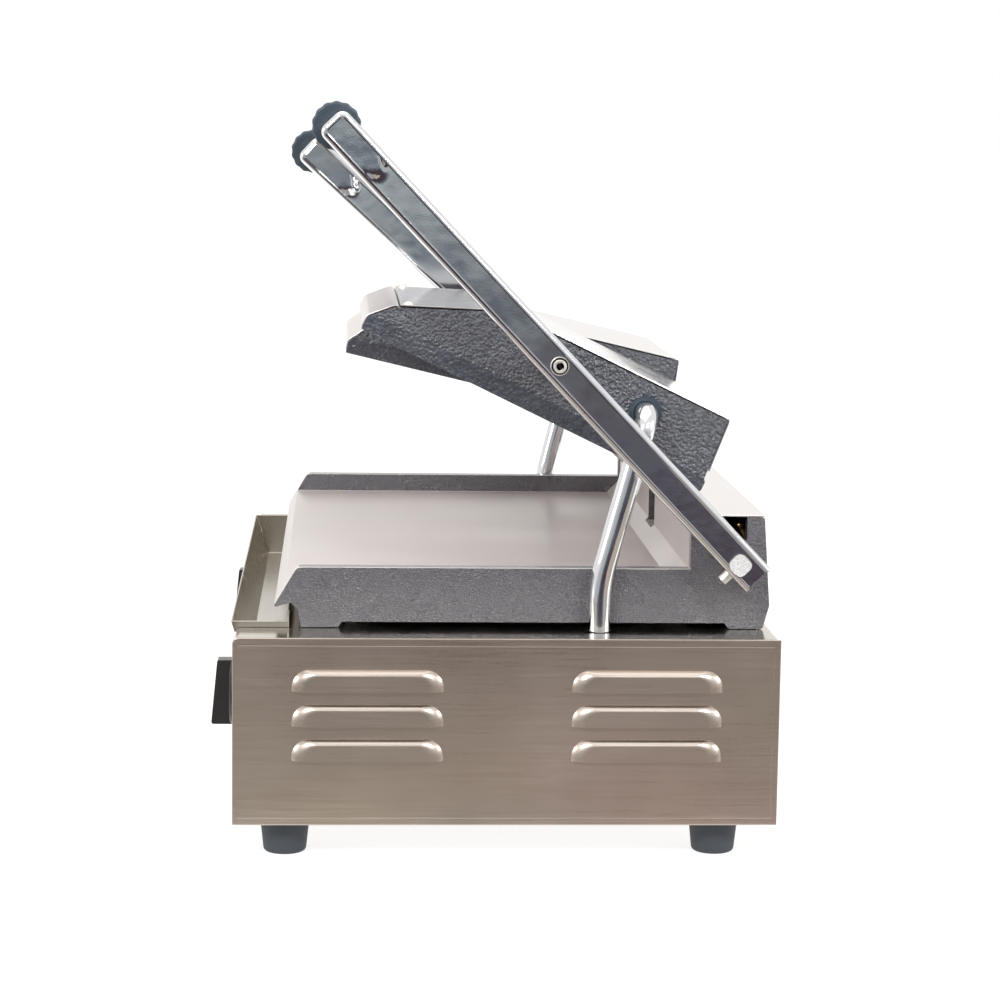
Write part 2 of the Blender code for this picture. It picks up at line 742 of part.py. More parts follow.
def grip(name, side, pivot):
    """A fluted plastic grip between the arms, bored for its rod."""
    count = GRIP_FLUTES * 4
    outline = []
    for i in range(count):
        turn = 2 * math.pi * i / count
        radius = GRIP_RADIUS - 0.0009 * abs(math.sin(GRIP_FLUTES * turn / 2)) ** 3
        outline.append(Vector((-GRIP_REACH + radius * math.cos(turn), ARM_LIFT + radius * math.sin(turn), 0)))
    ends = sorted((side * (INNER_ARM_X + ARM_THICK + GAP), side * (OUTER_ARM_X - GAP)))
    bore = circle((-GRIP_REACH, ARM_LIFT), 0.004 + GAP, 16)
    return smooth(across(name, [outline, bore], *ends, "black_plastic", pivot), 40)


def grip_rod(name, side, pivot):
    """The rod that carries the grip, set into both arms."""
    ends = sorted((side * (INNER_ARM_X + ARM_THICK - 0.0037), side * (OUTER_ARM_X + 0.0037)))
    return smooth(rod(name, 0.004, *ends, (-GRIP_REACH, ARM_LIFT), "brushed_steel", pivot, 16))


def torsion_spring(name, side):
    """The spring round the shaft that carries the head's weight, its leg hooked in the wall's window."""
    mean, wire, turns, per_turn = 0.0113, 0.0016, 7, 9
    start, pitch = 0.190, 0.0060
    path = []
    for i in range(turns * per_turn + 1):
        turn = 2 * math.pi * i / per_turn
        x = side * (start + pitch * i / per_turn)
        path.append(Vector((x, SHAFT_DEPTH + mean * math.cos(turn), SHAFT_HEIGHT + mean * math.sin(turn))))
    leg = [(0.2340, mean, 0.004), (0.2343, 0.006, 0.019), (0.2385, 0.004, 0.0215), (0.2430, 0.002, 0.0225)]
    path += [Vector((side * x, SHAFT_DEPTH + y, SHAFT_HEIGHT + z)) for x, y, z in leg]
    return smooth(tube(name, path, wire, "zinc", resolution=1), 60)


def pivot_bolt(name, x_head, x_tip, pivot):
    """A socket-head bolt with its washer, through an arm and into the head's wall."""
    sign = 1 if x_head > x_tip else -1
    length = abs(x_head - x_tip)
    profile = [
        (0, -0.0012), (0.0022, -0.0012), (0.0022, 0.0035), (0.0045, 0.0035), (0.005, 0.003), (0.005, 0),
        (0.0062, 0), (0.0062, -0.0011), (BOLT_RADIUS, -0.0011), (BOLT_RADIUS, -length), (0, -length),
    ]
    return smooth(turned(name, profile, (sign, 0, 0), (x_head, 0, 0), "bright_steel", pivot))


def spacer(name, side, pivot):
    """The bush that holds the outer arm off the head, clear of the conduit."""
    outline = [circle((0, 0), 0.0072), circle((0, 0), BOLT_RADIUS + GAP)]
    ends = sorted((side * (HEAD_OUTER_X + GAP), side * (OUTER_ARM_X - GAP)))
    return smooth(across(name, outline, *ends, "bright_steel", pivot))


def head_point(depth, height):
    """A point of the head's outline, from its bolt's axis."""
    return depth - HEAD_BOLT[0], height - HEAD_BOLT[1]


def head(name, side, pivot):
    """A cast head: a thick plate with walls round it, open above to the element."""
    front = [(-0.0010, -0.0015, 0.001), (-0.0010, 0.0072, 0.001), (0.0119, 0.0206), (0.0797, 0.0505)]
    rear = [(0.2433, 0.0512), (0.2464, 0.0100), (0.2480, 0.0078), (0.2480, 0.0020), (0.2452, -0.0015)]
    outline = [(*head_point(*corner[:2]), *corner[2:]) for corner in front + rear]
    ends = sorted((side * HEAD_INNER_X, side * HEAD_OUTER_X))
    body = across(name, [rounded(outline, 3)], *ends, "enamel", pivot)
    hollow = [(0.016, HEAD_PLATE), (0.016, 0.016), (0.079, 0.044), (0.079, 0.070)]
    hollow += [(0.238, 0.070), (0.238, HEAD_PLATE)]
    walls = ends[0] + HEAD_WALL, ends[1] - HEAD_WALL
    inside = across(f"cut_inside_{name}", [rounded([head_point(*c) for c in hollow])], *walls, None, pivot)
    holes = rod(f"cut_bolts_{name}", BOLT_RADIUS + GAP, ends[0] - 0.001, ends[1] + 0.001, (0, 0), None, pivot)
    wall = sorted((side * (HEAD_OUTER_X - HEAD_WALL - 0.001), side * (HEAD_OUTER_X + 0.001)))
    port = rod(f"cut_port_{name}", GROMMET_RADIUS + GAP, *wall, head_point(*CONDUIT_HOLE), None, pivot)
    return smooth(combine(body, [inside, holes, port]))


def head_cover(name, side, pivot):
    """The bright sheet folded over the head, down its nose and its rear."""
    rear = [(0.2472, 0.0125), (0.2440, 0.0518), (0.0796, 0.0511)]
    line = rear + [(0.0116, 0.0212), (-0.0015, 0.0076), (-0.0015, 0.0002)]
    ends = sorted((side * HEAD_INNER_X, side * HEAD_OUTER_X))
    outline = strip([head_point(*point) for point in line], -COVER_SHEET)
    return across(name, [outline], *ends, "bright_steel", pivot)


def head_element(name, side, pivot):
    """A tubular heater loop on the head's plate."""
    level = HEAD_PLATE + 0.0041
    inner, outer = side * 0.070, side * 0.190
    near, far = head_point(0.045, level), head_point(0.205, level)
    lead = head_point(0.205, 0.030)
    corners = [(inner, *lead), (inner, *far), (inner, *near), (outer, *near), (outer, *far), (outer, *lead)]
    path = bent(corners, [0.008, 0.030, 0.030, 0.008])
    return smooth(tube(name, path, 0.0035, "heater", pivot, resolution=1), 60)


def grommet(name, side, pivot):
    """The flanged bush where the conduit enters the head's wall."""
    bore = CONDUIT_RADIUS + GAP
    profile = [
        (bore, 0.0015), (0.0110, 0.0015), (0.0110, GAP), (GROMMET_RADIUS, GAP), (GROMMET_RADIUS, -HEAD_WALL),
        (bore, -HEAD_WALL),
    ]
    place = (side * HEAD_OUTER_X, *head_point(*CONDUIT_HOLE))
    return smooth(turned(name, profile, (side, 0, 0), place, "black_plastic", pivot, closed=True))


def conduit(name, side, pivot):
    """The pipe from a head's wall through the deck: a tight bend, a leaning run and an upright foot."""
    lean = math.radians(CONDUIT_LEAN)
    knee = Vector((0, -math.sin(lean), -math.cos(lean))) * CONDUIT_UPPER
    x = side * CONDUIT_X
    foot = knee - Vector((0, 0, CONDUIT_LOWER))
    corners = [(side * (HEAD_OUTER_X - 0.010), 0, 0), (x, 0, 0), (x, *knee.yz), (x, *foot.yz)]
    path = bent(corners, [0.0135, 0.080])
    return smooth(tube(name, path, CONDUIT_RADIUS, "chrome", pivot, CONDUIT_WALL), 60)


def press(name, side):
    """One handle with its head, each on an empty at its own axis."""
    shaft_place = (0, FRONT_Y + SHAFT_DEPTH, DECK_Z + SHAFT_HEIGHT)
    handle = empty(f"{name}_handle_axis", shaft_place, HANDLE_ANGLE[name])
    outer_from, inner_from = (
        (OUTER_ARM_X, INNER_ARM_X) if side > 0 else (-OUTER_ARM_X - ARM_THICK, -INNER_ARM_X - ARM_THICK)
    )
    arm(f"{name}_outer_arm", outer_from, side, ARM_TAIL, handle)
    arm(f"{name}_inner_arm", inner_from, -side, ARM_WIDTH / 2, handle)
    set_screw(f"{name}_outer_set_screw", side * (OUTER_ARM_X + ARM_THICK / 2 - 0.003), handle)
    set_screw(f"{name}_inner_set_screw", side * (INNER_ARM_X + ARM_THICK / 2 + 0.003), handle)
    shaft(f"{name}_shaft", side, handle)
    grip(f"{name}_grip", side, handle)
    grip_rod(f"{name}_grip_rod", side, handle)
    torsion_spring(f"{name}_spring", side)

    tilt = HEAD_TILT[name] - HANDLE_ANGLE[name]
    head_axis = empty(f"{name}_head_axis", (0, -BOLT_REACH, BOLT_LIFT), tilt, handle)
    head(f"{name}_head", side, head_axis)
    head_cover(f"{name}_head_cover", side, head_axis)
    head_element(f"{name}_head_element", side, head_axis)
    grommet(f"{name}_grommet", side, head_axis)
    spacer(f"{name}_spacer", side, head_axis)
    floor = ARM_THICK - ARM_POCKET + 0.0012 + GAP
    outer_floor = OUTER_ARM_X + floor
    pivot_bolt(f"{name}_outer_bolt", side * outer_floor, side * (HEAD_OUTER_X - HEAD_WALL), head_axis)
    inner_floor = INNER_ARM_X + ARM_POCKET - 0.0012 - GAP
    pivot_bolt(f"{name}_inner_bolt", side * inner_floor, side * (HEAD_INNER_X + HEAD_WALL), head_axis)

    place = (0, *head_point(*CONDUIT_HOLE))
    conduit_axis = empty(f"{name}_conduit_axis", place, CONDUIT_TURN[name] - HEAD_TILT[name], head_axis)
    conduit(f"{name}_conduit", side, conduit_axis)


def main():
    base_shell()
    bottom_plate()
    for end, depth in FOOT_DEPTHS.items():
        for name, side in SIDES.items():
            foot(f"{end}_{name}_foot", side * FOOT_X, depth)
    drip_tray()
    lower_casting()
    spring_cover()
    cable_gland()
    terminal_block()
    for name, side in SIDES.items():
        side_panel(f"{name}_side_panel", side)
        tray_runner(f"{name}_tray_runner", side)
        thermostat(f"{name}_thermostat", side)
        knob(f"{name}_knob", side)
        lamp(f"{name}_lamp", side)
        switch_body(f"{name}_switch_body", side)
        rocker(f"{name}_rocker", side)
        lower_element(f"{name}_lower_element", side)
        press(name, side)


main()
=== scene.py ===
"""The looks of a twin contact grill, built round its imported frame.

Every piece stands in the frame's own place and size. Depths are measured back from the front panel and heights up
from the deck, and both come from the frame.
"""

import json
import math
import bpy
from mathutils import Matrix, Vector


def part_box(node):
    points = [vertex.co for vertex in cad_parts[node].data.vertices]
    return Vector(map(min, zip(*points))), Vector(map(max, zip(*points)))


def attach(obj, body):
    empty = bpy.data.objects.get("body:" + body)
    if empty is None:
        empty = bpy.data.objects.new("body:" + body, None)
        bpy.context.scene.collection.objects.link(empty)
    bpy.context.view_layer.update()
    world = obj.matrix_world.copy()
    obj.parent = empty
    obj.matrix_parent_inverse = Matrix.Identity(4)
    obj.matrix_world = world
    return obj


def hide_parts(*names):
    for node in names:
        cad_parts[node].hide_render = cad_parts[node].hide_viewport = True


bl_info = {
    "name": "Twin Contact Grill",
    "version": (1, 0, 0),
    "blender": (4, 5, 0),
    "location": "3D View > Sidebar > Grill",
    "description": "Builds a commercial double contact grill round its jointed frame",
    "category": "Add Mesh",
}

import bmesh
import bpy
from bpy.props import FloatProperty, FloatVectorProperty, IntProperty, PointerProperty
from bpy.types import Operator, Panel, PropertyGroup
from mathutils import Matrix, Vector

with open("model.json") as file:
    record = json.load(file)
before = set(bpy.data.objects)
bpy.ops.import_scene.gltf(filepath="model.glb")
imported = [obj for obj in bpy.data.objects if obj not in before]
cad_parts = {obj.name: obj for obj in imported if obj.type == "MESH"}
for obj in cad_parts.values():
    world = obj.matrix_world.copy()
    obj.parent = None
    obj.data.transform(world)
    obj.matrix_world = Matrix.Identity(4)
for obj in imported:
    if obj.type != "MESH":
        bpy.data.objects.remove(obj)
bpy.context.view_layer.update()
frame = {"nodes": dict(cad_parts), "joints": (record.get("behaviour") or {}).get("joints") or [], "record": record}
SIDES = {"right": 1, "left": -1}
JOINTS = {joint["name"]: joint for joint in frame["joints"]}

# Datums taken from the frame
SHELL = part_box("base_shell")
FRONT_Y, REAR_Y = SHELL[0].y, SHELL[1].y
DECK_Z, FLOOR_Z = SHELL[1].z, SHELL[0].z
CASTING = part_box("lower_casting")
ARM_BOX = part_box("right_outer_arm")
ARM_THICK = ARM_BOX[1].x - ARM_BOX[0].x

# Louvres: the depth of each one's middle and the height of its top
LOUVRES = [(depth, top) for depth in (0.0874, 0.269) for top in (-0.0204, -0.0432, -0.0662)]
HOUSING_DEPTH = 0.3035

# Arms: they lie a little flatter than the line from shaft to bolts, and their middle line runs above the shaft
ARM_TURN = math.radians(0.65)
ARM_LIFT = 0.0018
ARM_REACH = 0.391
OUTER_TAIL = 0.015
GRIP_REACH = 0.385
GRIP_RADIUS = 0.01585

# Conduits: an elbow at the head, a leaning run, a knee and a run that stands upright on the right side at rest
CONDUIT_RADIUS = 0.0075
CONDUIT_UPPER, CONDUIT_LOWER = 0.1144, 0.0525
CONDUIT_LEAN = {"right": math.radians(15), "left": math.radians(13.6)}
CONDUIT_KNEE = math.radians(15)
ELBOW_BEND, KNEE_BEND = 0.0135, 0.110

# Heads: depths from a head's front edge and heights above its plate, for its bolts and its cover's two sheets
HEAD_BOLT = Vector((0, 0.1227, 0.0359))
COVER_NOSE = [(-0.0013, 0.0002), (-0.0013, 0.0076), (0.0116, 0.0212), (0.0143, 0.0224)]
COVER_TOP = [(0.0153, 0.0231), (0.0796, 0.0511), (0.2440, 0.0518), (0.2470, 0.0150)]
COVER_SCREW = (0.0200, 0.0262)
COVER_THICKNESS = 0.0008

# The tones of the room that the right panel faces, from overhead down to the floor
ROOM_TONES = (
    (0.24, (0.95, 0.94, 0.93)),
    (0.60, (0.50, 0.50, 0.52)),
    (0.83, (0.46, 0.50, 0.50)),
    (0.85, (0.12, 0.15, 0.18)),
    (0.87, (0.16, 0.20, 0.24)),
    (0.895, (0.10, 0.075, 0.07)),
    (0.92, (0.13, 0.14, 0.17)),
    (0.955, (0.07, 0.050, 0.065)),
)


def colour(name, value, description):
    """A colour setting."""
    return FloatVectorProperty(
        name=name, description=description, subtype="COLOR", size=3, min=0, max=1, default=value
    )


def length(name, value, description):
    """A setting in metres."""
    return FloatProperty(name=name, description=description, unit="LENGTH", subtype="DISTANCE", default=value, min=0)


class GrillSteelSettings(PropertyGroup):
    """Sheet steel of the casing, the covers and the drip tray."""

    casing_colour: colour("Casing", (0.49, 0.425, 0.37), "Brushed casing sheet")
    bright_colour: colour("Bright sheet", (0.93, 0.89, 0.87), "Covers, tray and screws")
    fold_radius: length("Fold radius", 0.0022, "Inside radius of the covers' folds")
    hood_rise: length("Louvre rise", 0.004, "How far a louvre stands out of its panel")
    hood_length: length("Louvre length", 0.0980, "Length of a louvre at its foot")
    hood_height: length("Louvre height", 0.0145, "Height of a louvre")
    hood_shoulder: length("Louvre shoulder", 0.0116, "Radius of a louvre's upper corners")


class GrillIronSettings(PropertyGroup):
    """Cast and enamelled iron of the plate and the heads."""

    enamel_colour: colour("Enamel", (0.040, 0.044, 0.059), "Textured slate enamel")
    plate_colour: colour("Plate face", (0.62, 0.57, 0.55), "Smooth cooking face")
    edge_radius: length("Edge radius", 0.0014, "Radius of the castings' edges")
    peel_size: length("Texture size", 0.0020, "Spacing of the enamel's bumps")


class GrillArmSettings(PropertyGroup):
    """The chromed arms and conduits."""

    chrome_colour: colour("Chrome", (0.80, 0.81, 0.83), "Polished chrome")
    width: length("Arm width", 0.0224, "Width of an arm across its face")
    pocket_width: length("Pocket width", 0.0140, "Width of the pocket in an arm's face")
    pocket_depth: length("Pocket depth", 0.0050, "Depth of the pocket")
    boss_rise: length("Boss rise", 0.0024, "How far the pocket's floor is raised below the grip")
    boss_length: length("Boss length", 0.043, "Length of the raised stretch")


class GrillGripSettings(PropertyGroup):
    """The fluted grips and other black mouldings."""

    plastic_colour: colour("Plastic", (0.032, 0.044, 0.058), "Slate-black moulded plastic")
    rubber_colour: colour("Rubber", (0.030, 0.035, 0.043), "Feet")
    flutes: IntProperty(name="Flutes", description="Flutes round a grip", default=14, min=6, max=40)
    flute_depth: length("Flute depth", 0.0006, "Depth of a flute")


class GrillStageSettings(PropertyGroup):
    """Floor, lights and camera."""

    floor_colour: colour("Floor", (0.28, 0.28, 0.28), "Pale floor")
    top_power: FloatProperty(name="Top light", description="Power of the light above", unit="POWER", default=22)
    side_power: FloatProperty(name="Side lights", description="Power of each side light", unit="POWER", default=12)
    lens: FloatProperty(name="Lens", description="Camera lens", unit="CAMERA", default=97.97)


SETTINGS = {
    "grill_steel": GrillSteelSettings,
    "grill_iron": GrillIronSettings,
    "grill_arm": GrillArmSettings,
    "grill_grip": GrillGripSettings,
    "grill_stage": GrillStageSettings,
}


# Working on meshes as by hand


def only(obj):
    """Leaves this object alone selected and active."""
    bpy.ops.object.select_all(action="DESELECT")
    obj.hide_set(False)
    obj.select_set(True)
    bpy.context.view_layer.objects.active = obj
    return obj


def primitive(name, kind, **values):
    """A new primitive mesh, alone selected."""
    bpy.ops.object.select_all(action="DESELECT")
    getattr(bpy.ops.mesh, f"primitive_{kind}_add")(**values)
    obj = bpy.context.object
    obj.name = obj.data.name = name
    return obj


def block(name, low, high):
    """A box between two corners, its size in its mesh."""
    low, high = Vector(low), Vector(high)
    obj = primitive(name, "cube", size=1, location=(low + high) / 2)
    obj.scale = high - low
    bpy.ops.object.transform_apply(location=True, rotation=True, scale=True)
    return obj


def rod(name, radius, depth, middle, sides=48):
    """A cylinder along Z, its middle at this height."""
    return primitive(name, "cylinder", vertices=sides, radius=radius, depth=depth, location=(0, 0, middle))


def edit(obj):
    """Starts work inside one mesh."""
    only(obj)
    bpy.ops.object.mode_set(mode="EDIT")


def done():
    """Ends work inside a mesh."""
    bpy.ops.object.mode_set(mode="OBJECT")


def pick(obj, kind, test):
    """Selects, in edit mode, the elements that pass a test."""
    bpy.ops.mesh.select_mode(type=kind)
    bpy.ops.mesh.select_all(action="DESELECT")
    work = bmesh.from_edit_mesh(obj.data)
    elements = {"VERT": work.verts, "EDGE": work.edges, "FACE": work.faces}[kind]
    chosen = [element for element in elements if test(element)]
    for element in chosen:
        element.select = True
    work.select_flush_mode()
    bmesh.update_edit_mesh(obj.data)


def near(value, target, within=1e-5):
    return abs(value - target) < within


def modify(obj, kind, **values):
    """Adds a modifier and applies it."""
    only(obj)
    modifier = obj.modifiers.new(kind.lower(), kind)
    for key, value in values.items():
        setattr(modifier, key, value)
    bpy.ops.object.modifier_apply(modifier=modifier.name)
    return obj


def soften(obj, width, segments, angle):
    """Rounds the edges that turn by more than this angle."""
    return modify(
        obj, "BEVEL", width=width, segments=segments, limit_method="ANGLE", angle_limit=math.radians(angle),
        harden_normals=False, miter_outer="MITER_ARC",
    )


def shade(obj, angle=35):
    """Smooth shading up to this angle, with the large faces kept flat to their edges."""
    only(obj)
    bpy.ops.object.shade_smooth_by_angle(angle=math.radians(angle))
    return modify(obj, "WEIGHTED_NORMAL", keep_sharp=True, weight=100)


def carve(obj, cutter):
    """Cuts one mesh by another and removes the second."""
    modify(obj, "BOOLEAN", object=cutter, operation="DIFFERENCE", solver="EXACT")
    bpy.data.objects.remove(cutter)
    return obj


def join(parts, name):
    """Joins meshes into the first of them, under a new name."""
    bpy.ops.object.select_all(action="DESELECT")
    for part in parts:
        part.select_set(True)
    bpy.context.view_layer.objects.active = parts[0]
    bpy.ops.object.join()
    parts[0].name = parts[0].data.name = name
    return parts[0]


def place(obj, matrix):
    """Moves a piece and leaves its place in its mesh."""
    obj.matrix_world = matrix @ obj.matrix_world
    only(obj)
    bpy.ops.object.transform_apply(location=True, rotation=True, scale=True)
    return obj


def flip(obj):
    """Turns every face over."""
    edit(obj)
    bpy.ops.mesh.select_all(action="SELECT")
    bpy.ops.mesh.flip_normals()
    done()


def outward(obj):
    """Closes doubled points and turns every face outwards."""
    edit(obj)
    bpy.ops.mesh.select_all(action="SELECT")
    bpy.ops.mesh.remove_doubles(threshold=1e-6)
    bpy.ops.mesh.normals_make_consistent(inside=False)
    done()
    return obj


def copy_of(node, name):
    """A copy of a frame node with its triangles joined into whole faces, ready to be worked on."""
    obj = bpy.data.objects.new(name, frame["nodes"][node].data.copy())
    bpy.context.scene.collection.objects.link(obj)
    obj.data.materials.clear()
    edit(obj)
    bpy.ops.mesh.select_all(action="SELECT")
    bpy.ops.mesh.remove_doubles(threshold=2e-6)
    bpy.ops.mesh.dissolve_limited(angle_limit=math.radians(1.5))
    done()
    return obj


def settle(obj, body, material, slot, *nodes):
    """Gives a finished piece its finish and its body, and lets it stand for its frame nodes."""
    obj.data.materials.clear()
    for each in material if isinstance(material, (list, tuple)) else [material]:
        obj.data.materials.append(each)
    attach(obj, body)
    if nodes:
        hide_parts(*nodes)
    return obj


def refine(node, name, rounding, smooth, body, finish, slot):
    """A copy of a frame node with rounded edges, in place of that node."""
    piece = copy_of(node, name)
    soften(piece, *rounding)
    return settle(shade(piece, smooth), body, FINISHES[finish], slot, node)


def dress(node, material):
    """Gives a frame node that stays in view its finish."""
    slots = frame["nodes"][node].data.materials
    slots.clear()
    slots.append(material)


# Placing pieces on the joints' axes


def turn_of(side):
    """How far a side's arms stand above level; the line from its shaft to its head's bolts stands a little more."""
    shaft = Vector(JOINTS[f"{side}_handle_hinge"]["pos_m"])
    bolt = Vector(JOINTS[f"{side}_head_pivot"]["pos_m"])
    return math.atan2(bolt.z - shaft.z, shaft.y - bolt.y) - ARM_TURN


def arm_frame(side):
    """The place of a side's shaft, turned so that -Y runs up its arms."""
    shaft = Vector(JOINTS[f"{side}_handle_hinge"]["pos_m"])
    return Matrix.Translation((0, shaft.y, shaft.z)) @ Matrix.Rotation(-turn_of(side), 4, "X")


def head_tilt(side):
    """A head's tilt at rest: what its own pivot and its handle turn through on the way to level."""
    couplings = {c["joint"]: c["ratio"] for c in frame["record"]["behaviour"]["couplings"]}
    travel = math.radians(JOINTS[f"{side}_handle_hinge"]["range_deg"][0])
    return -travel * (1 + couplings[f"{side}_head_pivot"])


def head_frame(side):
    """The place of a head's bolts, turned with the head."""
    bolt = Vector(JOINTS[f"{side}_head_pivot"]["pos_m"])
    return Matrix.Translation((0, bolt.y, bolt.z)) @ Matrix.Rotation(-head_tilt(side), 4, "X")


def rest_point(depth, height, x=0.0):
    """The place at this depth behind the front panel and this height above the deck."""
    return Vector((x, FRONT_Y + depth, DECK_Z + height))


# Finishes


class Finish:
    """A node material with one shader, built up by short calls."""

    def __init__(self, name, colour, roughness, metallic=0.0, **values):
        self.material = bpy.data.materials.new(name)
        self.material.use_nodes = True
        self.tree = self.material.node_tree
        self.shader = self.tree.nodes["Principled BSDF"]
        self.colour = (*colour, 1)
        self.put("Base Color", self.colour)
        self.put("Roughness", roughness)
        self.put("Metallic", metallic)
        for key, value in values.items():
            self.put(key.replace("_", " "), value)
        self.coordinates = self.tree.nodes.new("ShaderNodeTexCoord").outputs["Object"]

    def put(self, socket, value):
        self.shader.inputs[socket].default_value = value

    def link(self, source, target):
        self.tree.links.new(source, target)

    def node(self, kind, **values):
        made = self.tree.nodes.new(f"ShaderNode{kind}")
        for key, value in values.items():
            if hasattr(made, key):
                setattr(made, key, value)
            else:
                made.inputs[key.replace("_", " ")].default_value = value
        return made

    def mapped(self, scale=(1, 1, 1), turn=0.0, centre=(0, 0, 0)):
        mapping = self.node("Mapping", vector_type="TEXTURE")
        mapping.inputs["Location"].default_value = centre
        mapping.inputs["Rotation"].default_value = (turn, 0, 0)
        mapping.inputs["Scale"].default_value = scale
        self.link(self.coordinates, mapping.inputs["Vector"])
        return mapping.outputs["Vector"]

    def noise(self, vector, scale, detail=3.0, roughness=0.5):
        noise = self.node("TexNoise", Scale=scale, Detail=detail, Roughness=roughness)
        self.link(vector, noise.inputs["Vector"])
        return noise.outputs["Fac"]

    def spread(self, value, low, high, in_low=0.3, in_high=0.7, smooth=False):
        """A value carried from one range to another."""
        span = self.node("MapRange", interpolation_type="SMOOTHSTEP" if smooth else "LINEAR")
        for socket, number in zip(("From Min", "From Max", "To Min", "To Max"), (in_low, in_high, low, high)):
            span.inputs[socket].default_value = number
        self.link(value, span.inputs["Value"])
        return span.outputs["Result"]

    def maths(self, operation, first, second):
        made = self.node("Math", operation=operation)
        for socket, value in zip(made.inputs, (first, second)):
            if isinstance(value, (int, float)):
                socket.default_value = value
            else:
                self.link(value, socket)
        return made.outputs["Value"]

    def blend_colour(self, factor, first, second):
        mix = self.node("Mix", data_type="RGBA")
        self.link(factor, mix.inputs["Factor"])
        for socket, value in ((mix.inputs[6], first), (mix.inputs[7], second)):
            if isinstance(value, tuple):
                socket.default_value = (*value[:3], 1)
            else:
                self.link(value, socket)
        return mix.outputs[2]

    def feed(self, socket, value):
        self.link(value, self.shader.inputs[socket])

    def relief(self, height, strength, distance):
        """Adds this height to the surface's bump."""
        bump = self.node("Bump", Distance=distance)
        if isinstance(strength, (int, float)):
            bump.inputs["Strength"].default_value = strength
        else:
            self.link(strength, bump.inputs["Strength"])
        self.link(height, bump.inputs["Height"])
        before = self.shader.inputs["Normal"]
        if before.is_linked:
            self.link(before.links[0].from_socket, bump.inputs["Normal"])
        self.link(bump.outputs["Normal"], before)

    def tone(self, factor, low, high):
        """Colours the surface between two multiples of its own colour."""
        self.feed("Base Color", self.blend_colour(factor, tinted(self.colour, low), tinted(self.colour, high)))

    def roughen(self, factor, low, high):
        """Carries the surface's roughness between two values."""
        self.feed("Roughness", self.spread(factor, low, high))

    def warped(self, vector, size):
        """The coordinates shaken a little, so that round bumps lose their even spacing."""
        noise = self.node("TexNoise", Scale=0.35 / size, Detail=2.0)
        self.link(vector, noise.inputs["Vector"])
        shift = self.node("VectorMath", operation="MULTIPLY_ADD")
        self.link(noise.outputs["Color"], shift.inputs[0])
        shift.inputs[1].default_value = (size * 1.6,) * 3
        self.link(vector, shift.inputs[2])
        return shift.outputs["Vector"]


def tinted(value, by):
    """A colour made lighter or darker."""
    return tuple(min(1, v * by) for v in value)


def brushed_sheet(name, shade_of, roughness, grain):
    """Sheet steel brushed along one axis, with fine streaks, handling smudges and a faint change of tone."""
    finish = Finish(name, shade_of, roughness, 1.0)
    fine, long = [0.0009] * 3, [0.004] * 3
    fine[grain], long[grain] = 0.060, 0.30
    streaks = finish.noise(finish.mapped(fine), 1.0, 4, 0.62)
    bands = finish.noise(finish.mapped(long), 1.0, 3, 0.5)
    clouds = finish.noise(finish.mapped(), 9.0, 3, 0.55)
    tone = finish.maths("ADD", finish.spread(streaks, -0.16, 0.16), finish.spread(bands, -0.05, 0.05))
    tone = finish.maths("ADD", tone, finish.spread(clouds, 0.15, 0.85))
    warm, cool = tinted(shade_of, 0.93), tinted((shade_of[0] * 1.03, shade_of[1] * 1.04, shade_of[2] * 1.06), 1.04)
    finish.feed("Base Color", finish.blend_colour(tone, warm, cool))
    rough = finish.spread(clouds, roughness - 0.03, roughness + 0.05)
    finish.feed("Roughness", finish.maths("ADD", finish.spread(streaks, -0.04, 0.05), rough))
    finish.relief(streaks, 0.14, 0.00008)
    return finish.material


def bright_sheet(name, shade_of, roughness, wave=0.12):
    """Bright-rolled sheet steel, almost a mirror, with faint rolling lines and wipe marks."""
    finish = Finish(name, shade_of, roughness, 1.0)
    lines = finish.noise(finish.mapped((0.08, 0.0014, 0.0014)), 1.0, 3, 0.6)
    wipes = finish.noise(finish.mapped(), 14.0, 4, 0.6)
    waves = finish.noise(finish.mapped(), 10.0, 1, 0.3)
    rough = finish.spread(wipes, roughness - 0.03, roughness + 0.05)
    finish.feed("Roughness", finish.maths("ADD", finish.spread(lines, -0.02, 0.03), rough))
    finish.tone(wipes, 0.95, 1.04)
    finish.relief(waves, wave, 0.0012)
    return finish.material


def enamelled_iron(name, shade_of, size, strength, turn=0.0, smooth_below=None):
    """Slate enamel over rough iron: close round bumps with a glint on each, painted highlight and shade on the grit,
    smoother where the wall is machined.
    """
    finish = Finish(name, shade_of, 0.27, 0.0, IOR=1.85, Coat_Weight=0.7, Coat_Roughness=0.16)
    place_of = finish.mapped()
    bumps = finish.node("TexVoronoi", feature="SMOOTH_F1", Scale=1 / size, Smoothness=0.6)
    finish.link(finish.warped(place_of, size), bumps.inputs["Vector"])
    grit = finish.noise(place_of, 0.55 / size, 5, 0.62)
    patches = finish.noise(place_of, 22.0, 3, 0.55)
    height = finish.maths("ADD", finish.maths("MULTIPLY", bumps.outputs["Distance"], -0.8), grit)
    if smooth_below is None:
        level = strength
    else:
        turned = finish.mapped((1, 1, 1), turn, smooth_below[0])
        split = finish.node("SeparateXYZ")
        finish.link(turned, split.inputs["Vector"])
        level = finish.spread(split.outputs["Z"], 0.35, strength, smooth_below[1], smooth_below[1] + 0.004, True)
    finish.relief(height, level, size)
    finish.roughen(patches, 0.18, 0.32)
    # Lighter where the grit stands up and darker between: a random fleck, with painted highlight on the raised grains
    # and painted shade in the hollows
    lift = finish.spread(grit, 0.0, 1.0, 0.35, 0.68)
    finish.tone(lift, 0.70, 1.45)
    return finish.material


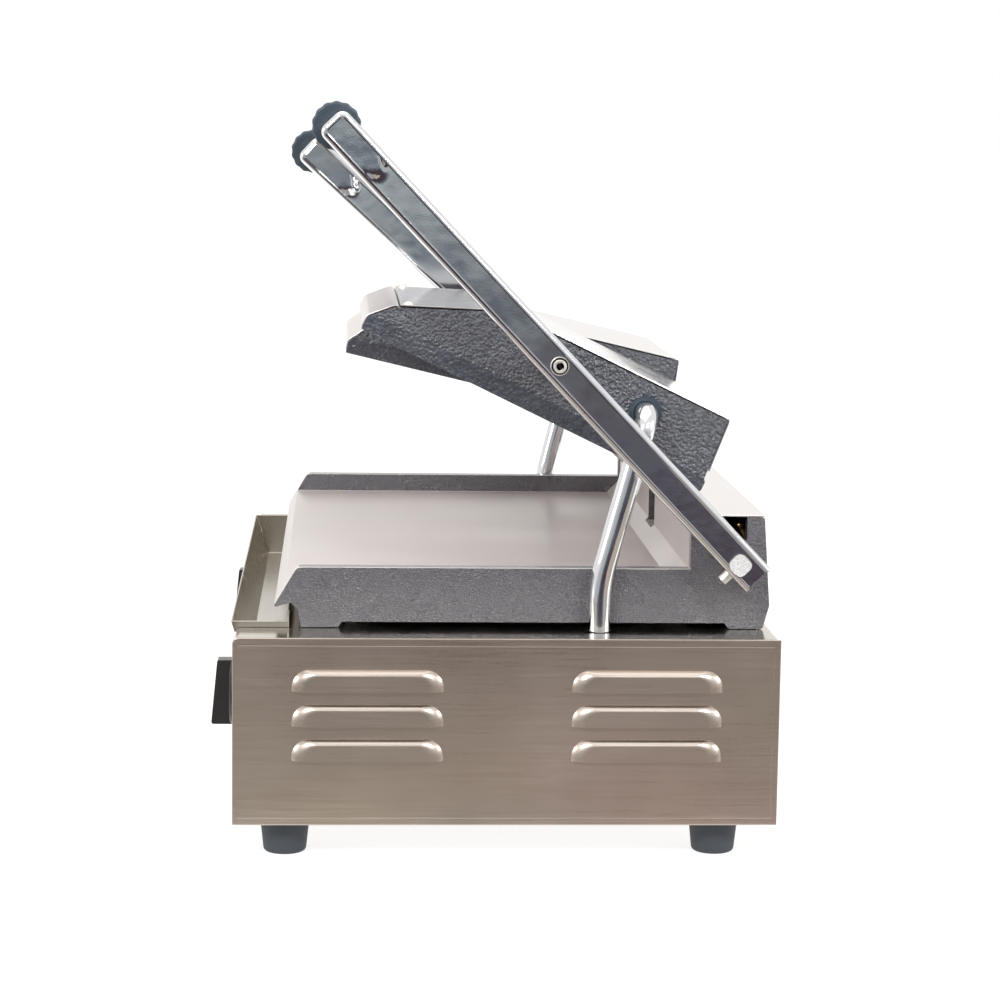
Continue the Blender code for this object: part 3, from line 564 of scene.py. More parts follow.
def plate_face(name, shade_of):
    """The smooth face that cooks: a warm satin, half metallic, with the faintest wear."""
    finish = Finish(name, shade_of, 0.34, 0.35, IOR=1.5)
    place_of = finish.mapped()
    marks = finish.noise(place_of, 12.0, 3, 0.5)
    fine = finish.noise(place_of, 700.0, 2, 0.5)
    finish.roughen(marks, 0.30, 0.38)
    finish.tone(marks, 0.96, 1.04)
    finish.relief(fine, 0.06, 0.0002)
    return finish.material


def polished_chrome(name, shade_of):
    """Polished chrome over a cast arm: a clear mirror with the slight waves of the polishing under it."""
    finish = Finish(name, shade_of, 0.05, 1.0)
    waves = finish.noise(finish.mapped(), 42.0, 2, 0.5)
    pits = finish.noise(finish.mapped(), 900.0, 2, 0.5)
    film = finish.noise(finish.mapped(), 30.0, 4, 0.6)
    finish.roughen(film, 0.05, 0.16)
    finish.tone(film, 0.92, 1.04)
    finish.relief(waves, 0.13, 0.0016)
    finish.relief(pits, 0.06, 0.0002)
    return finish.material


def sawn_steel(name, shade_of):
    """The sawn end of a bar: bright, with a coarse sparkling grain."""
    finish = Finish(name, shade_of, 0.24, 0.35)
    grain = finish.noise(finish.mapped(), 1500.0, 3, 0.6)
    finish.tone(grain, 0.85, 1.1)
    finish.roughen(grain, 0.18, 0.34)
    finish.relief(grain, 0.35, 0.0003)
    return finish.material


def turned_steel(name, shade_of, roughness=0.28):
    """Plain machined steel with fine tool marks."""
    finish = Finish(name, shade_of, roughness, 1.0)
    marks = finish.noise(finish.mapped((0.0008, 0.006, 0.006)), 1.0, 3, 0.6)
    finish.roughen(marks, roughness - 0.07, roughness + 0.12)
    finish.tone(marks, 0.85, 1.08)
    finish.relief(marks, 0.15, 0.0002)
    return finish.material


def moulded(name, shade_of, roughness, grain=850.0, strength=0.12):
    """Moulded plastic or rubber with a fine spark-eroded grain and worn tone."""
    finish = Finish(name, shade_of, roughness, 0.0, IOR=1.48)
    texture = finish.noise(finish.mapped(), grain, 3, 0.6)
    wear = finish.noise(finish.mapped(), 40.0, 4, 0.55)
    finish.roughen(wear, roughness - 0.08, roughness + 0.10)
    finish.tone(wear, 0.8, 1.5)
    finish.relief(texture, strength, 0.0003)
    return finish.material


def dusted(name, shade_of, roughness, metallic=0.0):
    """Ceramic, plated wire or heater sheath with mottled colour."""
    finish = Finish(name, shade_of, roughness, metallic)
    mottle = finish.noise(finish.mapped(), 160.0, 4, 0.6)
    finish.tone(mottle, 0.65, 1.2)
    finish.roughen(mottle, roughness - 0.08, roughness + 0.1)
    finish.relief(mottle, 0.1, 0.0002)
    return finish.material


def lens_amber(name):
    """A rippled amber lamp lens that lets some light through."""
    finish = Finish(name, (0.72, 0.13, 0.02), 0.12, 0.0, IOR=1.49, Transmission_Weight=0.45)
    ripple = finish.noise(finish.mapped(), 420.0, 1, 0.4)
    finish.roughen(ripple, 0.08, 0.2)
    finish.relief(ripple, 0.3, 0.0004)
    return finish.material


FINISHES = {}


def make_finishes(scene):
    """Makes every finish from the scene's settings."""
    steel, iron, arm, grip = scene.grill_steel, scene.grill_iron, scene.grill_arm, scene.grill_grip
    casing, bright = tuple(steel.casing_colour), tuple(steel.bright_colour)
    enamel, plastic = tuple(iron.enamel_colour), tuple(grip.plastic_colour)
    wall = (enamel[0] * 1.3, enamel[1] * 1.12, enamel[2] * 1.05)
    peel = iron.peel_size
    FINISHES.update(
        side_sheet=brushed_sheet("brushed_side_sheet", casing, 0.30, 1),
        deck_sheet=bright_sheet("deck_sheet", (0.66, 0.62, 0.54), 0.13, 0.05),
        bright=bright_sheet("bright_sheet", bright, 0.13),
        nose=bright_sheet("satin_nose_sheet", (0.86, 0.80, 0.78), 0.30, 0.05),
        tray=bright_sheet("tray_sheet", (0.60, 0.56, 0.49), 0.20, 0.05),
        iron=enamelled_iron("slate_enamel", wall, peel * 0.48, 0.85),
        plate=plate_face("plate_face", tuple(iron.plate_colour)),
        chrome=polished_chrome("polished_chrome", tuple(arm.chrome_colour)),
        steel=turned_steel("turned_steel", (0.62, 0.60, 0.58)),
        sawn=sawn_steel("sawn_steel", (0.84, 0.85, 0.85)),
        bolt=turned_steel("bolt_steel", (0.88, 0.84, 0.78), 0.42),
        plastic=moulded("black_plastic", plastic, 0.36),
        gloss=moulded("gloss_plastic", (0.015, 0.015, 0.016), 0.2, 500, 0.05),
        rubber=moulded("foot_rubber", tuple(grip.rubber_colour), 0.62, 600, 0.25),
        rocker=moulded("rocker_red", (0.45, 0.02, 0.015), 0.22, 500, 0.04),
        zinc=dusted("yellow_zinc", (0.72, 0.48, 0.12), 0.32, 1.0),
        heater=dusted("heater_sheath", (0.17, 0.16, 0.15), 0.45, 1.0),
        ceramic=dusted("ceramic", (0.72, 0.69, 0.62), 0.6),
        lamp=lens_amber("amber_lens"),
    )
    for side in SIDES:
        bolt = JOINTS[f"{side}_head_pivot"]["pos_m"]
        machined = (0, bolt[1], bolt[2]), 0.0095 - HEAD_BOLT.z
        FINISHES[f"{side}_head"] = enamelled_iron(
            f"slate_enamel_{side}_head", enamel, peel * 1.05, 1.0, -head_tilt(side), machined
        )


# Pieces


class GRILL_OT_stage(Operator):
    """Add the floor, the lights and the camera"""

    bl_idname = "grill.stage"
    bl_label = "Stage"

    def execute(self, context):
        stage = context.scene.grill_stage
        floor = primitive("stage_floor", "plane", size=60, location=(-29.22, 0, 0))
        finish = Finish("pale_floor", tuple(stage.floor_colour), 0.8)
        finish.roughen(finish.noise(finish.coordinates, 3.0), 0.7, 0.9)
        finish.put("Emission Color", (1, 1, 1, 1))
        finish.put("Emission Strength", 0.80)
        floor.data.materials.append(finish.material)
        self.card()
        self.world(context.scene)
        self.light("top_light", (0.1, -0.1, 2.3), (0, 0, 0.1), (2.6, 2.2), stage.top_power)
        self.light("front_light", (0.9, -2.3, 0.9), (0, 0, 0.2), (0.9, 0.8), stage.side_power)
        self.light("rear_light", (0.9, 2.4, 1.0), (0, 0, 0.2), (0.9, 0.8), stage.side_power)
        for end, y in (("front", -1.1), ("rear", 1.3)):
            self.light(f"{end}_glint_light", (2.3, y, 1.7), (0.2, 0, 0.2), (0.5, 0.5), stage.side_power * 2.6)
        self.camera(context.scene, stage.lens)
        context.scene.view_settings.view_transform = "Standard"
        return {"FINISHED"}

    def card(self):
        """A blotched brown card on the floor before the right panel, seen only in reflections."""
        card = primitive("stage_card", "plane", size=1)
        place(card, Matrix.Translation((0.65, 0, 0.001)) @ Matrix.Diagonal((0.62, 2.6, 1, 1)))
        finish = Finish("brown_card", (0.42, 0.37, 0.33), 0.9)
        blots = finish.noise(finish.coordinates, 5.0, 2, 0.5)
        hues = finish.noise(finish.mapped((1, 1, 1), 0.0, (3, 1, 0)), 4.0, 1, 0.5)
        warm = finish.blend_colour(finish.spread(hues, 0, 1, 0.4, 0.6), (0.30, 0.21, 0.19), (0.26, 0.23, 0.14))
        finish.feed("Base Color", finish.blend_colour(finish.spread(blots, 0, 1, 0.4, 0.6), warm, (0.19, 0.18, 0.18)))
        card.data.materials.append(finish.material)
        card.visible_camera = card.visible_shadow = False

    def light(self, name, location, target, size, power):
        bpy.ops.object.light_add(type="AREA", location=location)
        lamp = bpy.context.object
        lamp.name = name
        lamp.data.shape = "RECTANGLE"
        lamp.data.size, lamp.data.size_y = size
        lamp.data.energy = power
        lamp.rotation_euler = (Vector(target) - Vector(location)).to_track_quat("-Z", "Y").to_euler()

    def world(self, scene):
        """White to the eye and above; a dim, blotched room on the side that the grill's right panel faces."""
        scene.world = bpy.data.worlds.new("studio")
        scene.world.use_nodes = True
        tree = scene.world.node_tree
        background = tree.nodes["Background"]
        direction = tree.nodes.new("ShaderNodeTexCoord").outputs["Generated"]
        split = tree.nodes.new("ShaderNodeSeparateXYZ")
        tree.links.new(direction, split.inputs["Vector"])
        blots = tree.nodes.new("ShaderNodeTexNoise")
        blots.inputs["Scale"].default_value = 6.0
        tree.links.new(direction, blots.inputs["Vector"])
        value = split.outputs["X"]
        steps = (
            (0.8, 0.0, None),
            (-1.04, None, split.outputs["Z"]),
            (0.12, None, blots.outputs["Fac"]),
            (1.0, -0.06, None),
        )
        for factor, constant, source in steps:
            step = tree.nodes.new("ShaderNodeMath")
            step.operation = "MULTIPLY_ADD"
            tree.links.new(source or value, step.inputs[0])
            step.inputs[1].default_value = factor
            if constant is None:
                tree.links.new(value, step.inputs[2])
            else:
                step.inputs[2].default_value = constant
            value = step.outputs["Value"]
        room = tree.nodes.new("ShaderNodeValToRGB")
        ramp = room.color_ramp.elements
        for position, _ in ROOM_TONES[2:]:
            ramp.new(position)
        for stop, (position, shade_of) in zip(ramp, ROOM_TONES):
            stop.position, stop.color = position, (*shade_of, 1)
        tree.links.new(value, room.inputs["Fac"])
        path = tree.nodes.new("ShaderNodeLightPath")
        seen = tree.nodes.new("ShaderNodeMix")
        seen.data_type = "RGBA"
        seen.inputs[7].default_value = (1, 1, 1, 1)
        tree.links.new(path.outputs["Is Camera Ray"], seen.inputs["Factor"])
        tree.links.new(room.outputs["Color"], seen.inputs[6])
        tree.links.new(seen.outputs[2], background.inputs["Color"])

    def camera(self, scene, lens):
        """A long lens level with the handles, looking at the grill's right side and a little down."""
        pitch, yaw, roll = 0.13540, 0.05793, 0.01459
        forward = Vector((-math.cos(pitch) * math.cos(yaw), math.cos(pitch) * math.sin(yaw), -math.sin(pitch)))
        level = forward.cross(Vector((0, 0, 1))).normalized()
        upright = level.cross(forward)
        right = level * math.cos(roll) + upright * math.sin(roll)
        up = upright * math.cos(roll) - level * math.sin(roll)
        bpy.ops.object.camera_add()
        camera = bpy.context.object
        turn = Matrix((right, up, -forward)).transposed().to_4x4()
        camera.matrix_world = Matrix.Translation(rest_point(0.0710, 0.3264, 2.0122)) @ turn
        camera.data.lens = lens
        camera.data.sensor_width = 36
        camera.data.clip_end = 200
        scene.camera = camera


class GRILL_OT_casing(Operator):
    """Finish the deck and the sheets below it, and add the feet"""

    bl_idname = "grill.casing"
    bl_label = "Casing and feet"

    def execute(self, context):
        for node in ("base_shell", "bottom_plate", "right_tray_runner", "left_tray_runner"):
            dress(node, FINISHES["deck_sheet"])
        for end in ("front", "rear"):
            for side in SIDES:
                self.foot(f"{end}_{side}_foot")
        return {"FINISHED"}

    def foot(self, node):
        """A turned rubber foot with a rounded toe and a recess for its screw."""
        low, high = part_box(node)
        top = (high.x - low.x) / 2
        toe, screw_hole, recess = top * 0.845, 0.004, 0.014
        foot = primitive(
            f"{node}_rubber", "cone", vertices=64, radius1=toe, radius2=top, depth=high.z - low.z,
            location=(low + high) / 2,
        )
        bpy.ops.object.transform_apply(location=True, rotation=True, scale=True)
        edit(foot)
        pick(foot, "FACE", lambda f: f.normal.z < -0.9)
        bpy.ops.mesh.inset(thickness=toe - screw_hole)
        bpy.ops.mesh.extrude_region_move(TRANSFORM_OT_translate={"value": (0, 0, recess)})
        for rim, rounding in ((low.z, 0.0022), (high.z, 0.0010)):
            pick(foot, "EDGE", lambda e: all(near(v.co.z, rim) for v in e.verts) and e.calc_face_angle(0) > 0.5)
            bpy.ops.mesh.bevel(offset=rounding, segments=4)
        done()
        outward(foot)
        settle(shade(foot), "base", FINISHES["rubber"], "foot_rubber", node)


class GRILL_OT_side_panels(Operator):
    """Add the two side panels with their pressed louvres"""

    bl_idname = "grill.side_panels"
    bl_label = "Side panels"

    def execute(self, context):
        steel = context.scene.grill_steel
        low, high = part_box("right_side_panel")
        face = high.x - steel.hood_rise
        for side, sign in SIDES.items():
            sheet = block("sheet", (face - 0.0015, low.y, low.z), (face, high.y, high.z))
            edit(sheet)
            pick(sheet, "EDGE", lambda e: all(near(v.co.y, low.y) and near(v.co.z, high.z) for v in e.verts))
            bpy.ops.mesh.bevel(offset=0.0035, segments=5)
            done()
            hoods = [self.hood(steel, face, depth, top) for depth, top in LOUVRES]
            for hood in hoods:
                corners = [Vector(c) for c in hood.bound_box]
                first, last = corners[0], corners[6]
                mouth = block(
                    "mouth", (face - 0.01, first.y + 0.010, first.z + 0.0005),
                    (face + 0.01, last.y - 0.010, last.z - 0.005),
                )
                carve(sheet, mouth)
            soften(sheet, 0.0011, 4, 60)
            panel = join([sheet, *hoods, *self.hems(face, low, high)], f"{side}_louvred_panel")
            if sign < 0:
                place(panel, Matrix.Diagonal((-1, 1, 1, 1)))
                flip(panel)
            settle(shade(panel, 40), "base", FINISHES["side_sheet"], "casing_steel", f"{side}_side_panel")
        return {"FINISHED"}

    def hems(self, face, low, high):
        """The faint raised lines where the panel's folded hems end."""
        front, rear, foot, top = low.y + 0.004, high.y - 0.0045, low.z + 0.0045, high.z - 0.0050
        strips = [
            (front, rear, top - 0.0005, top),
            (front, rear, foot, foot + 0.0005),
            (rear, rear + 0.0005, foot, top),
        ]
        return [
            soften(block("hem", (face - 0.0006, y0, z0), (face + 0.0002, y1, z1)), 0.0001, 1, 60)
            for y0, y1, z0, z1 in strips
        ]

    def hood(self, steel, face, depth, top):
        """One louvre: round ends and shoulder about a flat face, open at its foot."""
        length, height, rise = steel.hood_length, steel.hood_height, steel.hood_rise
        ends_in, shoulder_in, sunk = 0.0097, 0.0043, 0.0004
        middle = rest_point(depth, top)
        foot = middle.z - height
        hood = primitive("hood", "plane", size=1)
        hood.scale = (height, length, 1)
        hood.rotation_euler = (0, math.pi / 2, 0)
        hood.location = (face - sunk, middle.y, middle.z - height / 2)
        bpy.ops.object.transform_apply(location=True, rotation=True, scale=True)
        edit(hood)
        pick(hood, "VERT", lambda v: near(v.co.z, middle.z))
        bpy.ops.mesh.bevel(offset=steel.hood_shoulder, segments=10, affect="VERTICES")
        bpy.ops.mesh.select_all(action="SELECT")
        steps, pivot = 8, (0, middle.y, foot)
        wide, tall, out = length, height, -sunk
        for i in range(steps + 1):
            turn = math.pi / 2 * i / steps
            reach = rise * math.sin(turn)
            inset = 0.65 * i / steps + 0.35 * (1 - math.cos(turn))
            bpy.ops.mesh.extrude_region_move(TRANSFORM_OT_translate={"value": (reach - out, 0, 0)})
            new_wide, new_tall = length - 2 * ends_in * inset, height - shoulder_in * inset
            bpy.ops.transform.resize(value=(1, new_wide / wide, new_tall / tall), center_override=pivot)
            wide, tall, out = new_wide, new_tall, reach
        pick(
            hood, "FACE",
            lambda f: near(f.calc_center_median().z, foot) or all(near(v.co.x, face - sunk) for v in f.verts),
        )
        bpy.ops.mesh.delete(type="FACE")
        done()
        outward(hood)
        if sum(f.normal.x * f.area for f in hood.data.polygons) < 0:
            flip(hood)
        modify(hood, "SOLIDIFY", thickness=0.0011, offset=-1)
        return soften(hood, 0.00035, 2, 60)


class GRILL_OT_drip_tray(Operator):
    """Add the drip tray"""

    bl_idname = "grill.drip_tray"
    bl_label = "Drip tray"

    def execute(self, context):
        refine("drip_tray", "drip_tray_sheet", (0.0004, 2, 30), 35, "tray", "tray", "bright_steel")
        return {"FINISHED"}


class GRILL_OT_lower_casting(Operator):
    """Add the cast plate with its walls and the cover behind it"""

    bl_idname = "grill.lower_casting"
    bl_label = "Lower casting"

    def execute(self, context):
        iron = context.scene.grill_iron
        casting = copy_of("lower_casting", "plate_casting")
        soften(casting, iron.edge_radius, 3, 28)
        settle(shade(casting, 40), "base", [FINISHES["iron"], FINISHES["plate"]], "enamelled_iron", "lower_casting")
        # The cooking face and the plate's front take the light plate finish. On the outer walls the upward-sloping
        # faces and the roundings of their top edges take it too: a machined rim, with a painted highlight along its
        # edges and slope
        wall, back = CASTING[1].x - 0.010, rest_point(HOUSING_DEPTH, 0).y
        for face in casting.data.polygons:
            centre, slant = face.center, face.normal
            if abs(centre.x) < wall:
                smooth = centre.y < back and centre.z > DECK_Z + 0.006 and (slant.z > 0.15 or slant.y < -0.4)
            else:
                smooth = centre.y < back and 0.25 < slant.z < 0.97
            face.material_index = 1 if smooth else 0
        refine("spring_cover", "housing_cover", (0.00035, 2, 40), 35, "base", "bright", "bright_steel")
        return {"FINISHED"}


class GRILL_OT_heads(Operator):
    """Add the two cast heads, their covers and the covers' screws"""

    bl_idname = "grill.heads"
    bl_label = "Heads"

    def execute(self, context):
        iron, steel = context.scene.grill_iron, context.scene.grill_steel
        for side in SIDES:
            body = f"{side}_head"
            casting = copy_of(body, f"{side}_head_casting")
            soften(casting, iron.edge_radius, 3, 28)
            settle(shade(casting, 40), body, [FINISHES[body], FINISHES["plate"]], "enamelled_iron", body)
            down = head_frame(side).to_3x3() @ Vector((0, 0, -1))
            for face in casting.data.polygons:
                outside = (face.center - head_frame(side).translation).dot(down) > HEAD_BOLT.z - 0.0006
                face.material_index = 1 if outside and face.normal.dot(down) > 0.95 else 0
            self.cover(side, steel.fold_radius)
        return {"FINISHED"}

    def cover(self, side, fold):
        """The bright sheet over a head in two pieces, with the seam and two screws low on its slope."""
        low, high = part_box(f"{side}_head_cover")
        ends = low.x + 0.0002, high.x - 0.0002
        lift = Vector((0, 0, 0.0006))
        sheets = []
        for label, line in (("nose", COVER_NOSE), ("top", COVER_TOP)):
            points = [Vector((0, *p)) - HEAD_BOLT + lift for p in line]
            sheets.append(folded_sheet(label, points, ends, COVER_THICKNESS, fold))
        cover = join(sheets, f"{side}_head_cover_sheet")
        forward = [face.center.y + HEAD_BOLT.y < 0.0148 for face in cover.data.polygons]
        place(cover, head_frame(side))
        materials = [FINISHES["bright"], FINISHES["nose"]]
        settle(shade(cover, 30), f"{side}_head", materials, "bright_steel", f"{side}_head_cover")
        for face, satin in zip(cover.data.polygons, forward):
            face.material_index = int(satin)
        lean = Matrix.Rotation(math.atan2(0.0280, 0.0643), 4, "X")
        for end, x in (("near", ends[1] - 0.0075), ("far", ends[0] + 0.0075)):
            screw = domed_screw(f"{side}_cover_screw_{end}", 0.0036, 0.0022)
            seat = Matrix.Translation(Vector((x, *COVER_SCREW)) - HEAD_BOLT)
            place(screw, head_frame(side) @ seat @ lean)
            settle(shade(screw), f"{side}_head", FINISHES["bolt"], "rod_steel")


def folded_sheet(name, points, ends, thickness, fold):
    """A sheet that runs through these points, across from one end to the other, with round folds."""

    def along(edge, point):
        return all((Vector((0, v.co.y, v.co.z)) - point).length < 1e-6 for v in edge.verts)

    sheet = primitive(name, "plane", size=1)
    edit(sheet)
    work = bmesh.from_edit_mesh(sheet.data)
    corners = [(ends[0], points[0]), (ends[1], points[0]), (ends[1], points[1]), (ends[0], points[1])]
    order = sorted(work.verts, key=lambda v: math.atan2(v.co.y, v.co.x))
    for vert, (x, point) in zip(order, corners):
        vert.co = (x, point.y, point.z)
    bmesh.update_edit_mesh(sheet.data)
    for before, after in zip(points[1:], points[2:]):
        pick(sheet, "EDGE", lambda e: along(e, before))
        bpy.ops.mesh.extrude_region_move(TRANSFORM_OT_translate={"value": after - before})
    pick(sheet, "EDGE", lambda e: any(along(e, p) for p in points[1:-1]))
    bpy.ops.mesh.bevel(offset=fold, segments=4)
    bpy.ops.mesh.select_all(action="SELECT")
    bpy.ops.mesh.normals_make_consistent(inside=False)
    done()
    if sum(f.normal.z * f.area for f in sheet.data.polygons) < 0:
        flip(sheet)
    modify(sheet, "SOLIDIFY", thickness=thickness, offset=0)
    return soften(sheet, thickness * 0.3, 2, 60)


def domed_screw(name, radius, height):
    """A low domed screw head on its washer face, with a cross recess, standing along +Z."""
    head = primitive(name, "uv_sphere", segments=32, ring_count=16, radius=radius)
    edit(head)
    bpy.ops.mesh.select_all(action="SELECT")
    bpy.ops.mesh.bisect(plane_co=(0, 0, radius * 0.35), plane_no=(0, 0, 1), clear_inner=True, use_fill=True)
    done()
    place(head, Matrix.Diagonal((1, 1, height / (radius * 0.65), 1)) @ Matrix.Translation((0, 0, -radius * 0.35)))
    for turn in (0, math.pi / 2):
        slot = block("slot", (-radius * 0.5, -radius * 0.1, height * 0.55), (radius * 0.5, radius * 0.1, height * 2))
        place(slot, Matrix.Rotation(turn + 0.4, 4, "Z"))
        carve(head, slot)
    return head


class GRILL_OT_arms(Operator):
    """Add the four chromed arms"""

    bl_idname = "grill.arms"
    bl_label = "Arms"

    def execute(self, context):
        settings = context.scene.grill_arm
        for side, sign in SIDES.items():
            for kind in ("outer", "inner"):
                node = f"{side}_{kind}_arm"
                tail = OUTER_TAIL if kind == "outer" else settings.width / 2
                faces_right = (sign > 0) == (kind == "outer")
                lift = ARM_LIFT if faces_right else -ARM_LIFT
                arm = self.arm(f"{side}_{kind}_chrome_arm", settings, tail, lift)
                if not faces_right:
                    place(arm, Matrix.Rotation(math.pi, 4, "Y"))
                low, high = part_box(node)
                shift = low.x if faces_right else high.x
                place(arm, Matrix.Translation((shift, 0, 0)) @ arm_frame(side))
                settle(shade(arm, 32), f"{side}_handle", FINISHES["chrome"], "chrome", node)
        return {"FINISHED"}

    def arm(self, name, settings, tail, lift):
        """A level arm pointing along -Y, its shaft at the origin, its pocketed face at +X."""
        half, tip = settings.width / 2, -ARM_REACH
        arm = block(name, (0, tip, -half), (ARM_THICK, tail + 0.012, half))
        edit(arm)
        pick(
            arm, "EDGE",
            lambda e: all(near(v.co.y, tip) for v in e.verts) and near(e.verts[0].co.z, e.verts[1].co.z),
        )
        bpy.ops.mesh.bevel(offset=0.0062, segments=6)
        rim = half - settings.pocket_width / 2
        pick(arm, "FACE", lambda f: f.normal.x > 0.9)
        bpy.ops.mesh.inset(thickness=rim - 0.0006)
        pick(
            arm, "EDGE",
            lambda e: all(near(v.co.x, ARM_THICK) for v in e.verts)
            and any(abs(f.normal.x) < 0.1 for f in e.link_faces),
        )
        bpy.ops.mesh.bevel(offset=0.0032, segments=5)
        widest = settings.pocket_width / 2 + 0.0008
        pick(
            arm, "FACE",
            lambda f: f.normal.x > 0.9 and all(abs(v.co.z) < widest for v in f.verts) and f.calc_area() > 0.002,
        )
        bpy.ops.mesh.inset(thickness=0.0008, depth=-settings.pocket_depth)
        bpy.ops.mesh.select_all(action="SELECT")
        bpy.ops.mesh.bisect(plane_co=(0, tail, 0), plane_no=(0, 1, 0), clear_outer=True, use_fill=True)
        cuts = 24
        for i in range(cuts + 1):
            bpy.ops.mesh.select_all(action="SELECT")
            at = tip + 0.0078 + settings.boss_length * 1.1 * i / cuts
            bpy.ops.mesh.bisect(plane_co=(0, at, 0), plane_no=(0, 1, 0))
        for z in (-0.0055, -0.0042, -0.0021, 0, 0.0021, 0.0042, 0.0055):
            pick(arm, "FACE", lambda f: self.on_floor(f, settings))
            bpy.ops.mesh.bisect(plane_co=(0, 0, z), plane_no=(0, 0, 1))
        self.boss(arm, settings, tip)
        done()
        place(arm, Matrix.Translation((0, 0, lift)))
        seat = block("seat", (-0.01, -0.0068, -0.0068), (0.03, 0.0068, 0.0068))
        soften(seat, 0.0042, 5, 60)
        carve(arm, seat)
        return soften(arm, 0.0004, 2, 40)

    def on_floor(self, face, settings):
        """Whether a face lies on the pocket's floor."""
        floor = ARM_THICK - settings.pocket_depth
        return face.normal.x > 0.9 and near(face.calc_center_median().x, floor, 1e-4)

    def boss(self, arm, settings, tip):
        """Raises the pocket's floor below the grip, down to a rounded step."""
        work = bmesh.from_edit_mesh(arm.data)
        floor = ARM_THICK - settings.pocket_depth
        start, half = tip + 0.008, settings.pocket_width / 2
        for vert in work.verts:
            if not near(vert.co.x, floor, 1e-4):
                continue
            along = vert.co.y - start
            reach = settings.boss_length * (1 - 0.16 * (vert.co.z / half) ** 2)
            share = max(0, min(1, (reach - along) / 0.006))
            slope = 1 - 0.4 * along / settings.boss_length
            vert.co.x += settings.boss_rise * slope * share ** 2 * (3 - 2 * share)
        bmesh.update_edit_mesh(arm.data)


class GRILL_OT_grips(Operator):
    """Add the two fluted grips"""

    bl_idname = "grill.grips"
    bl_label = "Grips"

    def execute(self, context):
        settings = context.scene.grill_grip
        for side in SIDES:
            low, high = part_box(f"{side}_grip")
            grip = primitive(
                f"{side}_fluted_grip", "cylinder", vertices=settings.flutes * 12, radius=GRIP_RADIUS,
                depth=high.x - low.x - 0.0004,
            )
            edit(grip)
            pick(grip, "EDGE", lambda e: near(e.verts[0].co.z, e.verts[1].co.z))
            bpy.ops.mesh.bevel(offset=0.0016, segments=4)
            pick(grip, "FACE", lambda f: abs(f.normal.z) > 0.9 and len(f.verts) > 20)
            bpy.ops.mesh.inset(thickness=0.0030)
            bpy.ops.mesh.inset(thickness=0.0008, depth=-0.0006)
            done()
            for vert in grip.data.vertices:
                out = Vector((vert.co.x, vert.co.y, 0))
                turn = math.atan2(vert.co.y, vert.co.x)
                groove = abs(math.sin(settings.flutes * turn / 2)) ** 2.2
                share = max(0, min(1, (out.length - 0.010) / (GRIP_RADIUS - 0.010)))
                vert.co -= out.normalized() * settings.flute_depth * groove * share
            place(grip, Matrix.Rotation(math.pi / 2, 4, "Y"))
            centre = arm_frame(side) @ Vector((0, -GRIP_REACH, ARM_LIFT))
            place(grip, Matrix.Translation(((low.x + high.x) / 2, centre.y, centre.z)))
            settle(shade(grip, 50), f"{side}_handle", FINISHES["plastic"], "grip_plastic", f"{side}_grip")
            dress(f"{side}_grip_rod", FINISHES["steel"])
        return {"FINISHED"}


def bend(before, corner, after, radius, steps):
    """The points that turn a corner on an arc."""
    into, out = (corner - before).normalized(), (after - corner).normalized()
    turn = into.angle(out)
    start = corner - into * radius * math.tan(turn / 2)
    axis = into.cross(out).normalized()
    centre = start + axis.cross(into) * radius
    return [centre + Matrix.Rotation(turn * i / steps, 3, axis) @ (start - centre) for i in range(steps + 1)]


def pipe(name, path, radius, resolution):
    """A round bar along a path, as a mesh."""
    bpy.ops.object.select_all(action="DESELECT")
    bpy.ops.curve.primitive_nurbs_path_add()
    curve = bpy.context.object
    curve.name = name
    curve.data.splines.clear()
    line = curve.data.splines.new("POLY")
    line.points.add(len(path) - 1)
    for target, point in zip(line.points, path):
        target.co = (*point, 1)
    curve.data.bevel_depth = radius
    curve.data.bevel_resolution = resolution
    curve.data.use_fill_caps = True
    only(curve)
    bpy.ops.object.convert(target="MESH")
    piece = bpy.context.object
    piece.name = piece.data.name = name
    return piece


class GRILL_OT_conduits(Operator):
    """Add the two chromed conduits and their grommets"""

    bl_idname = "grill.conduits"
    bl_label = "Conduits"

    def execute(self, context):
        for side, sign in SIDES.items():
            pivot = Vector(JOINTS[f"{side}_conduit_swivel"]["pos_m"])
            low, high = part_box(f"{side}_conduit")
            inner = low.x if sign > 0 else high.x
            lean = CONDUIT_LEAN[side]
            down = Vector((0, math.sin(lean - CONDUIT_KNEE), -math.cos(lean - CONDUIT_KNEE)))
            knee = pivot + Vector((0, -math.sin(lean), -math.cos(lean))) * CONDUIT_UPPER
            foot = knee + down * CONDUIT_LOWER
            start = Vector((inner, pivot.y, pivot.z))
            elbow, turn = bend(start, pivot, knee, ELBOW_BEND, 14), bend(pivot, knee, foot, KNEE_BEND, 12)
            tube = pipe(f"{side}_conduit_pipe", [start, *elbow, *turn, foot], CONDUIT_RADIUS, 10)
            outward(tube)
            settle(shade(tube, 60), f"{side}_conduit", FINISHES["chrome"], "chrome", f"{side}_conduit")
            self.grommet(side, sign, pivot)
        return {"FINISHED"}

    def grommet(self, side, sign, pivot):
        """A round black bush with a soft lip against the head's wall."""
        low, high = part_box(f"{side}_grommet")
        rim = 0.0014
        lip = primitive(
            f"{side}_grommet_ring", "torus", major_radius=0.0092, minor_radius=rim, major_segments=48,
            minor_segments=12,
        )
        place(lip, Matrix.Rotation(math.pi / 2, 4, "Y"))
        outer = high.x - rim if sign > 0 else low.x + rim
        place(lip, Matrix.Translation((outer, pivot.y, pivot.z)))
        settle(shade(lip, 60), f"{side}_head", FINISHES["plastic"], "grommet_plastic")
        dress(f"{side}_grommet", FINISHES["plastic"])


